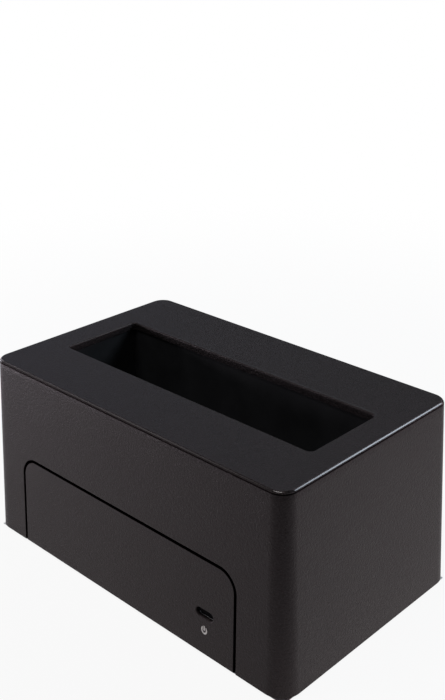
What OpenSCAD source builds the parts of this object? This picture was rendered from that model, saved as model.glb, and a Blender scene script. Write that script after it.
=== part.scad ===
// Docking station: a free-standing box with a top slot that takes a bare drive.
// Millimetres, +Z up. The front faces -Y and the rubber feet stand on z = 0.

/* [Case] */
// Width of the case at its top
case_w = 127.5; // [125:0.5:140]
// Depth of the case at its top
case_d = 77; // [76:0.5:90]
// Height of the case without its feet
case_h = 61; // [60:0.5:72]
// Radius of the upright corners at the top
corner_r = 5; // [3:0.5:8]
// Outward slope of the walls towards the base, in degrees
draft = 1.5; // [0.5:0.1:2]
// Rounding of the top edge
edge_r = 1; // [0.3:0.1:1.6]
// Thickness of the case walls
wall_t = 2.4; // [2:0.1:2.8]
// Thickness of the top
top_t = 2.5; // [2:0.1:3.5]
// Diameter of the screw bosses in the upper case
boss_d = 7; // [6:0.5:8]
// Distance of the boss axes from the case sides
boss_in = 8.2; // [7.5:0.1:9]

/* [Slot and drive guide] */
// Length of the slot
slot_l = 106.5; // [104:0.5:108]
// Width of the slot
slot_w = 30; // [27.5:0.5:31]
// Sideways place of the slot
slot_x = 0.6; // [-1:0.1:1]
// Place of the slot from front to rear
slot_y = -0.9; // [-1.5:0.1:0.5]
// Radius of the slot corners
slot_r = 1.5; // [0.8:0.1:3]
// Bevel round the slot mouth
slot_bevel = 0.7; // [0.3:0.1:1.2]
// Depth from the top of the case to the floor of the guide
bay_depth = 33.5; // [32:0.5:35]
// Wall and floor thickness of the guide
guide_t = 1.8; // [1.4:0.1:2.2]
// Set-back of the guide walls from the slot edge
guide_relief = 0.3; // [0.1:0.1:0.6]
// Distance between the screw ears on each side of the guide
ear_pitch = 76; // [60:1:84]
// Length of the bosses that hold the guide
ear_drop = 10; // [8:0.5:12]
// Reach of the screw ears
ear_reach = 8; // [7:0.5:9]

/* [Front panel] */
// Width of the arch opening in the front
arch_w = 96.6; // [88:0.2:97.4]
// Sideways place of the arch
arch_x = -0.6; // [-1.5:0.1:1.5]
// Height of the arch opening above the case bottom
arch_h = 30.9; // [26:0.1:34]
// Radius of the upper corners of the arch
arch_r = 6.5; // [4:0.5:10]
// Width of the seam round the front panel
seam = 0.8; // [0.4:0.1:1.2]
// Distance of the front panel bosses from its middle
panel_boss_x = 24; // [18:0.5:26]
// Height of the front panel bosses
panel_boss_h = 14; // [12:0.5:16]

/* [Indicator] */
// Sideways place of the indicator window
window_x = 35.6; // [33:0.1:38]
// Height of the window above the case bottom
window_z = 13; // [11.5:0.1:14]
// Length of the window
window_l = 6.8; // [6:0.1:8]
// Height of the window
window_h = 2.7; // [2.2:0.1:3.2]
// Depth of the lens face behind the panel face
lens_sink = 1.1; // [0.6:0.1:1.4]
// Width of the rim behind the lens
lens_rim = 1; // [0.6:0.1:1.4]
// Thickness of the rim behind the lens
lens_rim_t = 1; // [0.8:0.1:1.4]
// Diameter of the lamp
led_d = 3; // [2.6:0.1:3.4]
// Length of the lamp
led_l = 4.8; // [4:0.1:5.4]
// Diameter of the lamp leads
lead_d = 0.6; // [0.5:0.05:0.7]
// Spacing of the lamp leads
lead_pitch = 2.54; // [2:0.02:2.6]

/* [Base] */
// Thickness of the bottom cover
base_t = 2.4; // [2:0.1:3]
// Gap between the bottom cover and the case walls
base_gap = 0.2; // [0.1:0.05:0.4]
// Height of the screw pads on the bottom cover
pad_h = 2.4; // [2:0.1:3]
// Diameter of the screw pads
pad_d = 9; // [8.5:0.1:9.5]
// Height of the feet below the case
foot_h = 1.2; // [1:0.1:2]
// Diameter of the feet
foot_d = 10; // [8:0.5:11]
// Depth of the foot recesses
foot_sink = 0.8; // [0.5:0.1:1]
// Number of vents in the bottom cover
vent_count = 9; // [5:2:11]
// Width of a vent
vent_w = 2.5; // [1.5:0.1:3]
// Length of a vent
vent_l = 26; // [18:1:30]
// Spacing of the vents
vent_pitch = 6; // [5:0.1:6.4]

/* [Screws] */
// Shank diameter of the base screws
base_screw_d = 3; // [2.6:0.1:3.2]
// Length of the base screws
base_screw_l = 10; // [8:0.5:11]
// Shank diameter of the guide and board screws
small_screw_d = 2.5; // [2:0.1:2.6]
// Length of the guide and board screws
small_screw_l = 8; // [6:0.5:8]
// Width of a screw head over its shank width
head_ratio = 1.9; // [1.7:0.05:2]
// Height of a screw head over its shank width
head_rise = 0.65; // [0.55:0.05:0.75]
// Gap between a screw and the hole it turns in
screw_gap = 0.06; // [0.03:0.01:0.1]
// Extra width of the holes a screw passes through
pass_gap = 0.4; // [0.2:0.05:0.5]

/* [Circuit board] */
// Width of the board
board_w = 98; // [96:0.5:100]
// Thickness of the board
board_t = 1.6; // [1.2:0.1:2]
// Front edge of the board, behind the middle of the case
board_front = -24; // [-26:0.5:-23]
// Drop from the guide floor to the top of the board
board_drop = 6.7; // [6.4:0.1:7.2]
// Diameter of the board posts
post_d = 7; // [6:0.5:8]
// Sideways place of the board posts
post_x = 43.5; // [42:0.5:44]
// Place of the front board posts
post_front = -19; // [-20:0.5:-18]
// Place of the rear board posts
post_rear = 27; // [26:0.5:28]
// Length of the bridge chip sides
chip_l = 9; // [7:0.5:10]
// Height of the bridge chip
chip_h = 1.2; // [0.8:0.1:1.6]
// Length of the inductor sides
coil_l = 6; // [5:0.2:6.4]
// Height of the inductors
coil_h = 3; // [2:0.1:3.4]
// Diameter of the capacitors
cap_d = 6.3; // [5:0.1:6.5]
// Height of the capacitors
cap_h = 7.7; // [5:0.1:9]
// Height of the crystal can
crystal_h = 3.4; // [2.5:0.1:3.6]

/* [Drive socket] */
// Sideways place of the drive socket
sata_x = -19.2; // [-20:0.1:-18]
// Place of the drive socket from front to rear
sata_y = 8.2; // [7:0.1:8.4]
// Width of the drive socket
sata_w = 6.4; // [6:0.1:7]
// Height of the drive socket
sata_h = 8.6; // [8.2:0.1:9.2]
// Width of the drive socket cavities
sata_slot_w = 2.4; // [2.2:0.1:2.8]
// Spacing of the drive socket contacts
sata_pitch = 1.27; // [1.2:0.01:1.3]
// Width of a drive socket contact
sata_pin_w = 0.7; // [0.5:0.05:0.8]
// Thickness of a drive socket contact
sata_pin_t = 0.35; // [0.25:0.05:0.4]
// Height of the drive socket above the board
sata_lift = 0.5; // [0.45:0.05:0.7]
// Gap round the drive socket in the guide floor
sata_gap = 0.5; // [0.3:0.1:0.8]

/* [Rear sockets and switch] */
// Depth of the socket recess in the rear
port_sink = 2.1; // [1.8:0.1:2.6]
// Left end of the socket recess
port_x0 = -34; // [-36:0.5:-31]
// Right end of the socket recess
port_x1 = 40; // [38:0.5:42]
// Height of the socket recess above the board
port_rise = 18.5; // [17:0.5:20]
// Gap round the sockets in the rear wall
port_gap = 0.25; // [0.15:0.05:0.4]
// How far the sockets stand out of the recess floor
port_proud = 0.6; // [0.2:0.1:1]
// Sideways place of the data socket
usb_x = -22; // [-23:0.5:-20]
// Width of the data socket
usb_w = 12; // [11.6:0.1:12.6]
// Height of the data socket
usb_h = 12.8; // [12.4:0.1:13.4]
// Length of the data socket
usb_l = 16; // [14:0.5:16.5]
// Wall thickness of the data socket shell
usb_t = 0.4; // [0.3:0.05:0.5]
// Sideways place of the power inlet
jack_x = 8; // [7:0.5:9]
// Width of the power inlet
jack_w = 9; // [8.6:0.1:9.6]
// Height of the power inlet
jack_h = 11; // [10:0.1:12]
// Length of the power inlet
jack_l = 13.6; // [12:0.1:14]
// Height of the inlet axis above the board
jack_axis = 6.4; // [5.8:0.1:6.6]
// Diameter of the inlet hole
jack_hole_d = 6.3; // [6:0.1:6.6]
// Depth of the inlet hole
jack_hole_l = 10; // [9:0.1:10.4]
// Diameter of the inlet pin
jack_pin_d = 2.1; // [1.9:0.1:2.5]
// Sideways place of the switch
switch_x = 30; // [29:0.5:31]
// Height of the switch axis above the board
switch_axis = 8.6; // [8.4:0.1:9]
// Width of the rocker
rocker_w = 6.8; // [6:0.1:7.4]
// Radius of the rocker round its axis
rocker_r = 6.2; // [5.8:0.1:6.4]
// Height of the rocker ends above its axis
rocker_rise = 3; // [2.6:0.1:3.2]
// Hollow of the rocker face
rocker_dish = 20; // [16:0.5:30]
// Tilt of the rocker at rest, in degrees
rocker_tilt = 8; // [5:0.5:9]
// Diameter of the rocker axle
axle_d = 2; // [1.6:0.1:2.2]
// Gap between the axle and its bearing
axle_gap = 0.05; // [0.03:0.01:0.08]
// Gap between the rocker and the switch frame
rocker_gap = 0.3; // [0.25:0.05:0.4]
// Side wall of the switch housing
switch_t = 1; // [0.9:0.1:1.2]
// Width of the switch frame rim
bezel_w = 0.9; // [0.6:0.1:1.2]
// Thickness of the switch frame rim
bezel_t = 1.2; // [0.8:0.1:1.4]
// Depth of the switch housing behind the recess floor
switch_l = 10; // [9:0.5:10.5]

/* [Hidden] */
fine = 64;
mid = 32;
eps = 0.01;
cut = 1;
bite = 0.4;
seat = 0.04;
foot_gap = 2;
ear_wall = 1.75;
lip_t = 1.2;
lip_w = 2;
lip_gap = 0.15;
lip_hold = 3;
lamp_gap = 0.3;
led_rim = 0.4;
led_rim_t = 1;
lead_in = 2;
lead_gap = 0.5;
lead_rise = 0.8;
lead_tail = 1;
cross_w = 0.14;
cross_l = 0.64;
cross_floor = 0.4;
case_top = foot_h + case_h;
slope = tan(draft);
corner_x = case_w / 2 - corner_r;
corner_y = case_d / 2 - corner_r;
top_under = case_top - top_t;
base_top = foot_h + base_t;
pad_top = base_top + pad_h;
bay_z = case_top - bay_depth;
board_top = bay_z - board_drop;
board_z = board_top - board_t;
port_y = case_d / 2 - port_sink;
port_wall_y = port_y - wall_t;
board_rear = port_wall_y - base_gap;
board_mid = (board_front + board_rear) / 2;
face_y = port_y + port_proud;
boss_x = case_w / 2 - boss_in;
boss_y = case_d / 2 - boss_in;
case_bosses = [for (x = [-boss_x, boss_x]) for (y = [-boss_y, boss_y]) [x, y]];
panel_boss_y = -(case_d / 2 - wall_t - boss_d / 2 - bite);
panel_bosses = [for (s = [-1, 1]) [arch_x + s * panel_boss_x, panel_boss_y]];
base_holes = concat(case_bosses, panel_bosses);
foot_x = boss_x - pad_d / 2 - foot_d / 2 - foot_gap;
foot_y = boss_y;
feet = [for (x = [-foot_x, foot_x]) for (y = [-foot_y, foot_y]) [x, y]];
posts = [for (x = [-post_x, post_x]) for (y = [post_front, post_rear]) [x, y]];
guide_l = slot_l + 2 * guide_relief;
guide_w = slot_w + 2 * guide_relief;
guide_room = case_w / 2 - wall_t - base_gap - abs(slot_x) - guide_l / 2;
guide_end_t = min(guide_t, guide_room);
guide_out_l = guide_l + 2 * guide_end_t;
guide_out_w = guide_w + 2 * guide_t;
ear_z = top_under - ear_drop;
ear_t = guide_t + bite;
ear_y = guide_out_w / 2 + ear_reach / 2;
ear_web = ear_reach / 2 + bite;
ears = [for (x = [-1, 1]) for (y = [-1, 1]) [slot_x + x * ear_pitch / 2, slot_y + y * ear_y]];
ear_boss_d = small_screw_d + 2 * ear_wall;
base_head_d = base_screw_d * head_ratio;
base_head_h = base_screw_d * head_rise;
small_head_d = small_screw_d * head_ratio;
small_head_h = small_screw_d * head_rise;
sink_d = base_head_d + pass_gap;
sink_z = foot_h + base_head_h + pass_gap;
arch_top = foot_h + arch_h;
window_top = foot_h + window_z;
lens_back = -(wall_y(window_top + window_h / 2 + lens_rim) - wall_t);
led_y = lens_back + lens_rim_t + lamp_gap;
led_rim_d = led_d + 2 * led_rim;
lead_y = board_front + lead_in;
lead_bend = board_front - lead_gap - lead_d / 2;
lead_top = board_top + lead_rise;
lead_xs = [window_x - lead_pitch / 2, window_x + lead_pitch / 2];
sata_end = 1.8;
sata_rib = 2.4;
sata_floor_t = 2;
sata_key_l = 1.2;
sata_key_w = 1;
sata_rim = 1;
sata_tip = 1.4;
sata_peg_in = 1;
sata_power = 15;
sata_signal = 7;
sata_spare = 0.8;
sata_power_l = (sata_power + sata_spare) * sata_pitch;
sata_signal_l = (sata_signal + sata_spare) * sata_pitch;
sata_l = sata_power_l + sata_signal_l + sata_rib + 2 * sata_end;
sata_power_x = sata_x - sata_l / 2 + sata_end + sata_power_l / 2;
sata_signal_x = sata_x + sata_l / 2 - sata_end - sata_signal_l / 2;
sata_floor = board_top + sata_lift + sata_floor_t;
sata_top = board_top + sata_h;
sata_peg_d = 1.6;
sata_pegs = [sata_x - sata_l / 2 + sata_peg_in, sata_x + sata_l / 2 - sata_peg_in];
sata_pins = concat(
    [for (i = [0 : sata_power - 1]) sata_power_x + (i - (sata_power - 1) / 2) * sata_pitch],
    [for (i = [0 : sata_signal - 1]) sata_signal_x + (i - (sata_signal - 1) / 2) * sata_pitch]);
sata_pin_y = sata_y + sata_slot_w / 2;
sata_foot_l = 1.6;
usb_y0 = face_y - usb_l;
usb_in_w = usb_w - 2 * usb_t;
usb_in_h = usb_h - 2 * usb_t;
usb_bevel = 1.6;
usb_hole_w = 8.6;
usb_hole_h = 7.2;
usb_hole_l = 9;
usb_web = 0.6;
usb_inset = 0.5;
usb_hole_z = board_top + usb_t + usb_web;
usb_tongue_w = 5.6;
usb_tongue_h = 2.8;
usb_tongue_z = usb_hole_z + (usb_hole_h - usb_tongue_h) / 2;
usb_upper_w = 6;
usb_upper_h = 2.8;
usb_upper_z = usb_hole_z + usb_hole_h + usb_web;
usb_blade_h = 1;
usb_blade_w = 4;
usb_blade_z = usb_upper_z + (usb_upper_h - usb_blade_h) / 2;
usb_pin_w = 0.5;
usb_pin_t = 0.15;
usb_pin_l = 6.5;
usb_pin_x = 1.25;
usb_upper_x = 1.2;
usb_tongue_l = usb_hole_l - cut;
jack_y0 = face_y - jack_l;
jack_z = board_top + jack_axis;
jack_pin_in = 2;
jack_pin_short = 0.8;
jack_pin_l = jack_hole_l + jack_pin_in - jack_pin_short;
tail_w = 1.8;
tail_t = 0.8;
tail_l = 3.2;
tail_in = 1.2;
tail_edge = 1.6;
jack_tail_pitch = 4.8;
switch_tail_pitch = 3.4;
jack_tails = [for (i = [0, 1]) [jack_x, jack_y0 + tail_edge + i * jack_tail_pitch]];
switch_z = board_top + switch_axis;
axle_sink = 0.8;
axle_y = port_y - axle_sink;
rocker_root = 2;
rocker_hollow = 0.9;
cavity_w = rocker_w + 2 * rocker_gap;
cavity_h = 2 * (rocker_r + rocker_gap);
switch_w = cavity_w + 2 * switch_t;
switch_h = cavity_h + 2 * switch_t;
cavity_l = rocker_r + 2 * rocker_gap;
switch_y0 = port_y - switch_l;
switch_foot_y = board_rear - bite;
switch_tails = [for (i = [0, 1]) [switch_x, switch_y0 + tail_edge + i * switch_tail_pitch]];
chip_at = [22, 3];
chip_legs = 10;
chip_leg_w = 0.25;
chip_leg_l = 0.8;
chip_leg_t = 0.3;
support_size = [5, 4, 1.5];
support_at = [[35, 8], [38, -4], [8, -4]];
crystal_at = [8, 6];
crystal_w = 4;
crystal_pitch = 6;
coil_at = [[20, 17], [-6, 17]];
cap_in = 2.4;
cap_y = board_rear - cap_in - cap_d / 2;
cap_at = [[18.5, cap_y], [-8, cap_y]];
part_size = [2, 1.2, 0.7];
part_pitch = 5;
part_count = 12;
part_rows = [-9, -14];
part_x0 = -27;
plastic = [0.11, 0.11, 0.115];
inner_plastic = [0.16, 0.16, 0.17];
metal = [0.72, 0.73, 0.75];
gold = [0.83, 0.68, 0.32];

// Piece to draw, or all of them

// Distance of the sloping wall face from the middle at height z
function wall_y(z) = case_d / 2 + (case_top - z) * slope;

// Rounded box with sloping walls, moved inwards by inset
module wall_form(inset, z0, z1) {
    r0 = corner_r + (case_top - z0) * slope - inset;
    r1 = corner_r + (case_top - z1) * slope - inset;
    hull()
        for (x = [-corner_x, corner_x])
            for (y = [-corner_y, corner_y])
                translate([x, y, z0])
                    cylinder(r1 = r0, r2 = r1, h = z1 - z0, $fn = fine);
}

// Outer form of the case with its rounded top edge
module case_form() {
    steps = 4;
    arc = [for (i = [0 : steps]) [corner_r - edge_r * (1 - cos(90 * i / steps)),
        case_top - edge_r * (1 - sin(90 * i / steps))]];
    foot_r = corner_r + case_h * slope;
    hull()
        for (x = [-corner_x, corner_x])
            for (y = [-corner_y, corner_y])
                translate([x, y, 0])
                    rotate_extrude($fn = fine)
                        polygon(concat([[0, foot_h], [foot_r, foot_h]], arc, [[0, case_top]]));
}

// Upright round-cornered block
module slab(l, w, r, h, flare = 0) {
    hull()
        for (x = [r - l / 2, l / 2 - r])
            for (y = [r - w / 2, w / 2 - r])
                translate([x, y, 0])
                    cylinder(r1 = r, r2 = r + flare, h = h, $fn = mid);
}

// Arch-shaped block through the front wall
module arch_form(inset) {
    r = arch_r - inset;
    half = arch_w / 2 - inset;
    deep = 2 * wall_t + case_h * slope + boss_d;
    translate([arch_x, -case_d / 2 + boss_d, foot_h])
        rotate([90, 0, 0])
            linear_extrude(deep)
                hull() {
                    translate([-half, -cut])
                        square([2 * half, cut]);
                    for (x = [r - half, half - r])
                        translate([x, arch_h - inset - r])
                            circle(r = r, $fn = fine);
                }
}

// Pill-shaped block lying along X with its depth along +Y
module pill(l, h, d) {
    for (x = [-1, 1])
        translate([x * (l - h) / 2, 0, 0])
            rotate([-90, 0, 0])
                cylinder(d = h, h = d, $fn = mid);
    translate([-(l - h) / 2, 0, -h / 2])
        cube([l - h, d, h]);
}

// Screw with a cross recess, head up and the underside of the head at z = 0
module screw(d, l) {
    head_d = d * head_ratio;
    head_h = d * head_rise;
    groove = head_d * cross_w;
    span = head_d * cross_l;
    difference() {
        union() {
            translate([0, 0, -l])
                cylinder(d = d, h = l, $fn = mid);
            cylinder(d = head_d, h = head_h, $fn = mid);
        }
        for (a = [0, 90])
            rotate([0, 0, a])
                translate([-span / 2, -groove / 2, head_h * cross_floor])
                    cube([span, groove, head_h]);
    }
}

// Round wire through a row of points
module wire(points, d) {
    for (i = [1 : len(points) - 1]) {
        run = points[i] - points[i - 1];
        translate(points[i - 1]) {
            sphere(d = d, $fn = mid);
            rotate([0, acos(run[2] / norm(run)), atan2(run[1], run[0])])
                cylinder(d = d, h = norm(run), $fn = mid);
        }
    }
}

// Bars behind the seam that overlap the upper case
module lip_bar(x0, x1, z0, z1, over) {
    face = -(wall_y(z1 + lip_w) - wall_t) + lip_gap;
    translate([x0, -wall_y(z1) + wall_t / 2, z0])
        cube([x1 - x0, wall_t / 2 + lip_t, z1 - z0]);
    translate([x0 - over[0], face, z0])
        cube([x1 - x0 + over[0] + over[1], lip_t, z1 - z0 + over[2]]);
}

module upper_case() {
    shell_w = port_x1 - port_x0 + 2 * wall_t;
    port_h = port_rise + 2 * wall_t;
    color(plastic)
        difference() {
            union() {
                difference() {
                    case_form();
                    wall_form(wall_t, foot_h - cut, top_under);
                }
                for (p = case_bosses) {
                    translate([p[0], p[1], pad_top])
                        cylinder(d = boss_d, h = top_under - pad_top + bite, $fn = mid);
                    side = p[0] < 0 ? -1 : 1;
                    translate([side * (boss_x + boss_in / 2 - bite), p[1], (pad_top + top_under) / 2])
                        cube([boss_in - 2 * bite, wall_t / 2, top_under - pad_top], center = true);
                }
                for (p = ears)
                    translate([p[0], p[1], ear_z])
                        cylinder(d = ear_boss_d, h = ear_drop + bite, $fn = mid);
                translate([port_x0 - wall_t, port_wall_y, board_z - wall_t])
                    cube([shell_w, case_d / 2 - port_wall_y - bite, port_h + board_t]);
            }
            translate([slot_x, slot_y, top_under - cut])
                slab(slot_l, slot_w, slot_r, top_t + 2 * cut);
            translate([slot_x, slot_y, case_top - slot_bevel])
                slab(slot_l, slot_w, slot_r, slot_bevel + eps, slot_bevel);
            arch_form(0);
            translate([port_x0, port_y, board_z])
                cube([port_x1 - port_x0, case_d, port_rise + board_t]);
            translate([usb_x - usb_w / 2 - port_gap, 0, board_top - port_gap])
                cube([usb_w + 2 * port_gap, case_d, usb_h + 2 * port_gap]);
            translate([jack_x - jack_w / 2 - port_gap, 0, board_top - port_gap])
                cube([jack_w + 2 * port_gap, case_d, jack_h + 2 * port_gap]);
            translate([switch_x - switch_w / 2 - port_gap, 0, switch_z - switch_h / 2 - port_gap])
                cube([switch_w + 2 * port_gap, case_d, switch_h + 2 * port_gap]);
            for (p = case_bosses)
                translate([p[0], p[1], pad_top - cut])
                    cylinder(d = base_screw_d + 2 * screw_gap, h = base_screw_l + 2 * cut, $fn = mid);
            for (p = ears)
                translate([p[0], p[1], ear_z - cut])
                    cylinder(d = small_screw_d + 2 * screw_gap, h = small_screw_l + cut, $fn = mid);
        }
}

module front_panel() {
    left = arch_x - arch_w / 2 + seam;
    right = arch_x + arch_w / 2 - seam;
    peak = arch_top - seam;
    reach = seam + lip_w;
    color(plastic)
        difference() {
            union() {
                intersection() {
                    difference() {
                        case_form();
                        wall_form(wall_t, foot_h - cut, top_under);
                    }
                    arch_form(seam);
                }
                for (p = panel_bosses) {
                    translate([p[0], p[1], pad_top])
                        cylinder(d = boss_d, h = panel_boss_h, $fn = mid);
                    translate([p[0] - boss_d / 4, -case_d / 2 + wall_t / 3, pad_top])
                        cube([boss_d / 2, boss_d, panel_boss_h]);
                }
                lip_bar(left + arch_r, right - arch_r, peak - lip_hold, peak - bite, [arch_r, arch_r, reach]);
                lip_bar(left + bite, left + lip_hold, pad_top, peak - arch_r, [reach, 0, arch_r]);
                lip_bar(right - lip_hold, right - bite, pad_top, peak - arch_r, [0, reach, arch_r]);
            }
            translate([window_x, -case_d / 2 - case_h * slope - cut, window_top])
                pill(window_l, window_h, case_d / 2);
            for (p = panel_bosses)
                translate([p[0], p[1], pad_top - cut])
                    cylinder(d = base_screw_d + 2 * screw_gap, h = base_screw_l + 2 * cut, $fn = mid);
        }
}

module indicator_lens() {
    front = -wall_y(window_top) + lens_sink;
    color([0.05, 0.05, 0.06])
        union() {
            translate([window_x, front, window_top])
                pill(window_l - 2 * seat, window_h - 2 * seat, lens_back + bite - front);
            translate([window_x, lens_back, window_top])
                pill(window_l + 2 * lens_rim, window_h + 2 * lens_rim, lens_rim_t);
        }
}

module lower_case() {
    color(plastic)
        difference() {
            union() {
                wall_form(wall_t + base_gap, foot_h, base_top);
                for (p = base_holes)
                    translate([p[0], p[1], base_top - bite])
                        cylinder(d = p[1] == panel_boss_y ? boss_d : pad_d, h = pad_h + bite, $fn = mid);
                for (p = posts)
                    translate([p[0], p[1], base_top - bite])
                        cylinder(d = post_d, h = board_z - base_top + bite, $fn = mid);
            }
            for (p = base_holes) {
                translate([p[0], p[1], foot_h - cut])
                    cylinder(d = sink_d, h = sink_z - foot_h + cut, $fn = mid);
                translate([p[0], p[1], foot_h])
                    cylinder(d = base_screw_d + pass_gap, h = pad_top, $fn = mid);
            }
            for (p = posts)
                translate([p[0], p[1], board_top - small_screw_l - cut])
                    cylinder(d = small_screw_d + 2 * screw_gap, h = small_screw_l + 2 * cut, $fn = mid);
            for (p = feet)
                translate([p[0], p[1], foot_h - cut])
                    cylinder(d = foot_d + 2 * seat, h = foot_sink + cut, $fn = fine);
            for (i = [0 : vent_count - 1])
                translate([(i - (vent_count - 1) / 2) * vent_pitch, 0, foot_h - cut]) {
                    translate([-vent_w / 2, -vent_l / 2, 0])
                        cube([vent_w, vent_l, base_t + 2 * cut]);
                    for (y = [-vent_l / 2, vent_l / 2])
                        translate([0, y, 0])
                            cylinder(d = vent_w, h = base_t + 2 * cut, $fn = mid);
                }
        }
}

module rubber_feet() {
    color([0.07, 0.07, 0.07])
        for (p = feet)
            translate([p[0], p[1], 0])
                cylinder(d = foot_d, h = foot_h + foot_sink, $fn = fine);
}

module base_screws() {
    color(metal)
        for (p = base_holes)
            translate([p[0], p[1], sink_z])
                rotate([180, 0, 0])
                    screw(base_screw_d, base_screw_l);
}

module drive_guide() {
    floor_z = bay_z - guide_t;
    color(inner_plastic)
        difference() {
            union() {
                translate([slot_x - guide_out_l / 2, slot_y - guide_out_w / 2, floor_z])
                    cube([guide_out_l, guide_out_w, top_under - floor_z]);
                for (p = ears) {
                    side = p[1] < slot_y ? -1 : 1;
                    translate([p[0], p[1], ear_z - ear_t])
                        cylinder(d = ear_boss_d, h = ear_t, $fn = mid);
                    translate([p[0], p[1] - side * ear_web / 2, ear_z - ear_t / 2])
                        cube([ear_boss_d, ear_web, ear_t], center = true);
                }
            }
            translate([slot_x - guide_l / 2, slot_y - guide_w / 2, bay_z])
                cube([guide_l, guide_w, case_h]);
            translate([sata_x - sata_l / 2 - sata_gap, sata_y - sata_w / 2 - sata_gap, floor_z - cut])
                cube([sata_l + 2 * sata_gap, sata_w + 2 * sata_gap, guide_t + 2 * cut]);
            for (p = ears)
                translate([p[0], p[1], ear_z - ear_t - cut])
                    cylinder(d = small_screw_d + pass_gap, h = ear_t + 2 * cut, $fn = mid);
        }
}

module guide_screws() {
    color(metal)
        for (p = ears)
            translate([p[0], p[1], ear_z - ear_t])
                rotate([180, 0, 0])
                    screw(small_screw_d, small_screw_l);
}

module main_board() {
    color([0.05, 0.28, 0.14])
        difference() {
            translate([-board_w / 2, board_front, board_z])
                cube([board_w, board_rear - board_front, board_t]);
            for (p = posts)
                translate([p[0], p[1], board_z - cut])
                    cylinder(d = small_screw_d + pass_gap, h = board_t + 2 * cut, $fn = mid);
            for (x = lead_xs)
                translate([x, lead_y, board_z - cut])
                    cylinder(d = lead_d + 2 * screw_gap, h = board_t + 2 * cut, $fn = mid);
            for (x = sata_pegs)
                translate([x, sata_y, board_z - cut])
                    cylinder(d = sata_peg_d + 2 * screw_gap, h = board_t + 2 * cut, $fn = mid);
            for (p = concat(jack_tails, switch_tails))
                translate([p[0], p[1], board_top])
                    cube([tail_w + 2 * seat, tail_t + 2 * seat, 3 * board_t], center = true);
        }
}

module board_screws() {
    color(metal)
        for (p = posts)
            translate([p[0], p[1], board_top])
                screw(small_screw_d, small_screw_l);
}

module sata_socket() {
    color([0.06, 0.06, 0.065])
        difference() {
            union() {
                translate([sata_x - sata_l / 2, sata_y - sata_w / 2, board_top + sata_lift])
                    cube([sata_l, sata_w, sata_h - sata_lift]);
                for (x = sata_pegs)
                    translate([x, sata_y, board_z]) {
                        cylinder(d = sata_peg_d, h = board_t + sata_lift + bite, $fn = mid);
                        translate([-sata_peg_in, -sata_w / 2, board_t])
                            cube([2 * sata_peg_in, sata_w, sata_lift + eps]);
                    }
            }
            for (s = [[sata_power_x, sata_power_l], [sata_signal_x, sata_signal_l]]) {
                translate([s[0] - s[1] / 2, sata_y - sata_slot_w / 2, sata_floor])
                    cube([s[1], sata_slot_w, sata_h]);
                translate([s[0] + s[1] / 2 - sata_key_l, sata_y - sata_slot_w / 2 - sata_key_w, sata_floor])
                    cube([sata_key_l, sata_slot_w, sata_h]);
            }
            for (x = sata_pins)
                translate([x - sata_pin_w / 2 - seat, sata_pin_y - sata_pin_t - seat, board_top])
                    cube([sata_pin_w + 2 * seat, sata_pin_t + 2 * seat, sata_h - sata_rim]);
        }
}

module sata_contacts() {
    color(gold)
        for (x = sata_pins) {
            translate([x - sata_pin_w / 2, sata_pin_y - sata_pin_t, board_top])
                cube([sata_pin_w, sata_pin_t, sata_h - sata_tip]);
            translate([x - sata_pin_w / 2, sata_pin_y - sata_pin_t, board_top])
                cube([sata_pin_w, sata_w / 2 - sata_slot_w / 2 + sata_foot_l, sata_pin_t]);
        }
}

module bridge_chip() {
    leg_pitch = chip_l / (chip_legs + 2);
    leg_span = chip_l + 2 * chip_leg_l;
    color([0.08, 0.08, 0.085])
        translate([chip_at[0], chip_at[1], board_top]) {
            translate([-chip_l / 2, -chip_l / 2, 0])
                cube([chip_l, chip_l, chip_h]);
            for (a = [0, 90])
                rotate([0, 0, a])
                    for (i = [0 : chip_legs - 1])
                        translate([(i - (chip_legs - 1) / 2) * leg_pitch - chip_leg_w / 2, -leg_span / 2, 0])
                            cube([chip_leg_w, leg_span, chip_leg_t]);
        }
}

module support_chips() {
    color([0.1, 0.1, 0.1])
        for (p = support_at)
            translate([p[0] - support_size[0] / 2, p[1] - support_size[1] / 2, board_top])
                cube(support_size);
}

module crystal() {
    color(metal)
        translate([crystal_at[0], crystal_at[1], board_top]) {
            for (x = [-crystal_pitch / 2, crystal_pitch / 2])
                translate([x, 0, 0])
                    cylinder(d = crystal_w, h = crystal_h, $fn = mid);
            translate([-crystal_pitch / 2, -crystal_w / 2, 0])
                cube([crystal_pitch, crystal_w, crystal_h]);
        }
}

module power_inductors() {
    color([0.25, 0.25, 0.26])
        for (p = coil_at)
            translate([p[0] - coil_l / 2, p[1] - coil_l / 2, board_top])
                cube([coil_l, coil_l, coil_h]);
}

module smoothing_capacitors() {
    color([0.75, 0.76, 0.78])
        for (p = cap_at)
            translate([p[0], p[1], board_top])
                cylinder(d = cap_d, h = cap_h, $fn = mid);
}

module chip_components() {
    color([0.55, 0.45, 0.35])
        for (y = part_rows)
            for (i = [0 : part_count - 1])
                translate([part_x0 + part_pitch * i, y, board_top])
                    cube(part_size);
}

module status_led() {
    color([0.7, 0.72, 0.78])
        translate([window_x, led_y, window_top])
            rotate([-90, 0, 0]) {
                translate([0, 0, led_d / 2])
                    sphere(d = led_d, $fn = mid);
                translate([0, 0, led_d / 2])
                    cylinder(d = led_d, h = led_l - led_d / 2, $fn = mid);
                translate([0, 0, led_l - led_rim_t])
                    cylinder(d = led_rim_d, h = led_rim_t, $fn = mid);
            }
}

module led_leads() {
    y0 = led_y + led_l;
    color(metal)
        for (x = lead_xs)
            translate([x, 0, 0]) {
                translate([0, y0, window_top])
                    rotate([-90, 0, 0])
                        cylinder(d = lead_d, h = lead_bend - y0, $fn = mid);
                wire([[0, lead_bend, window_top], [0, lead_bend, lead_top], [0, lead_y, lead_top],
                    [0, lead_y, board_z - lead_tail]], lead_d);
            }
}

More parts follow.
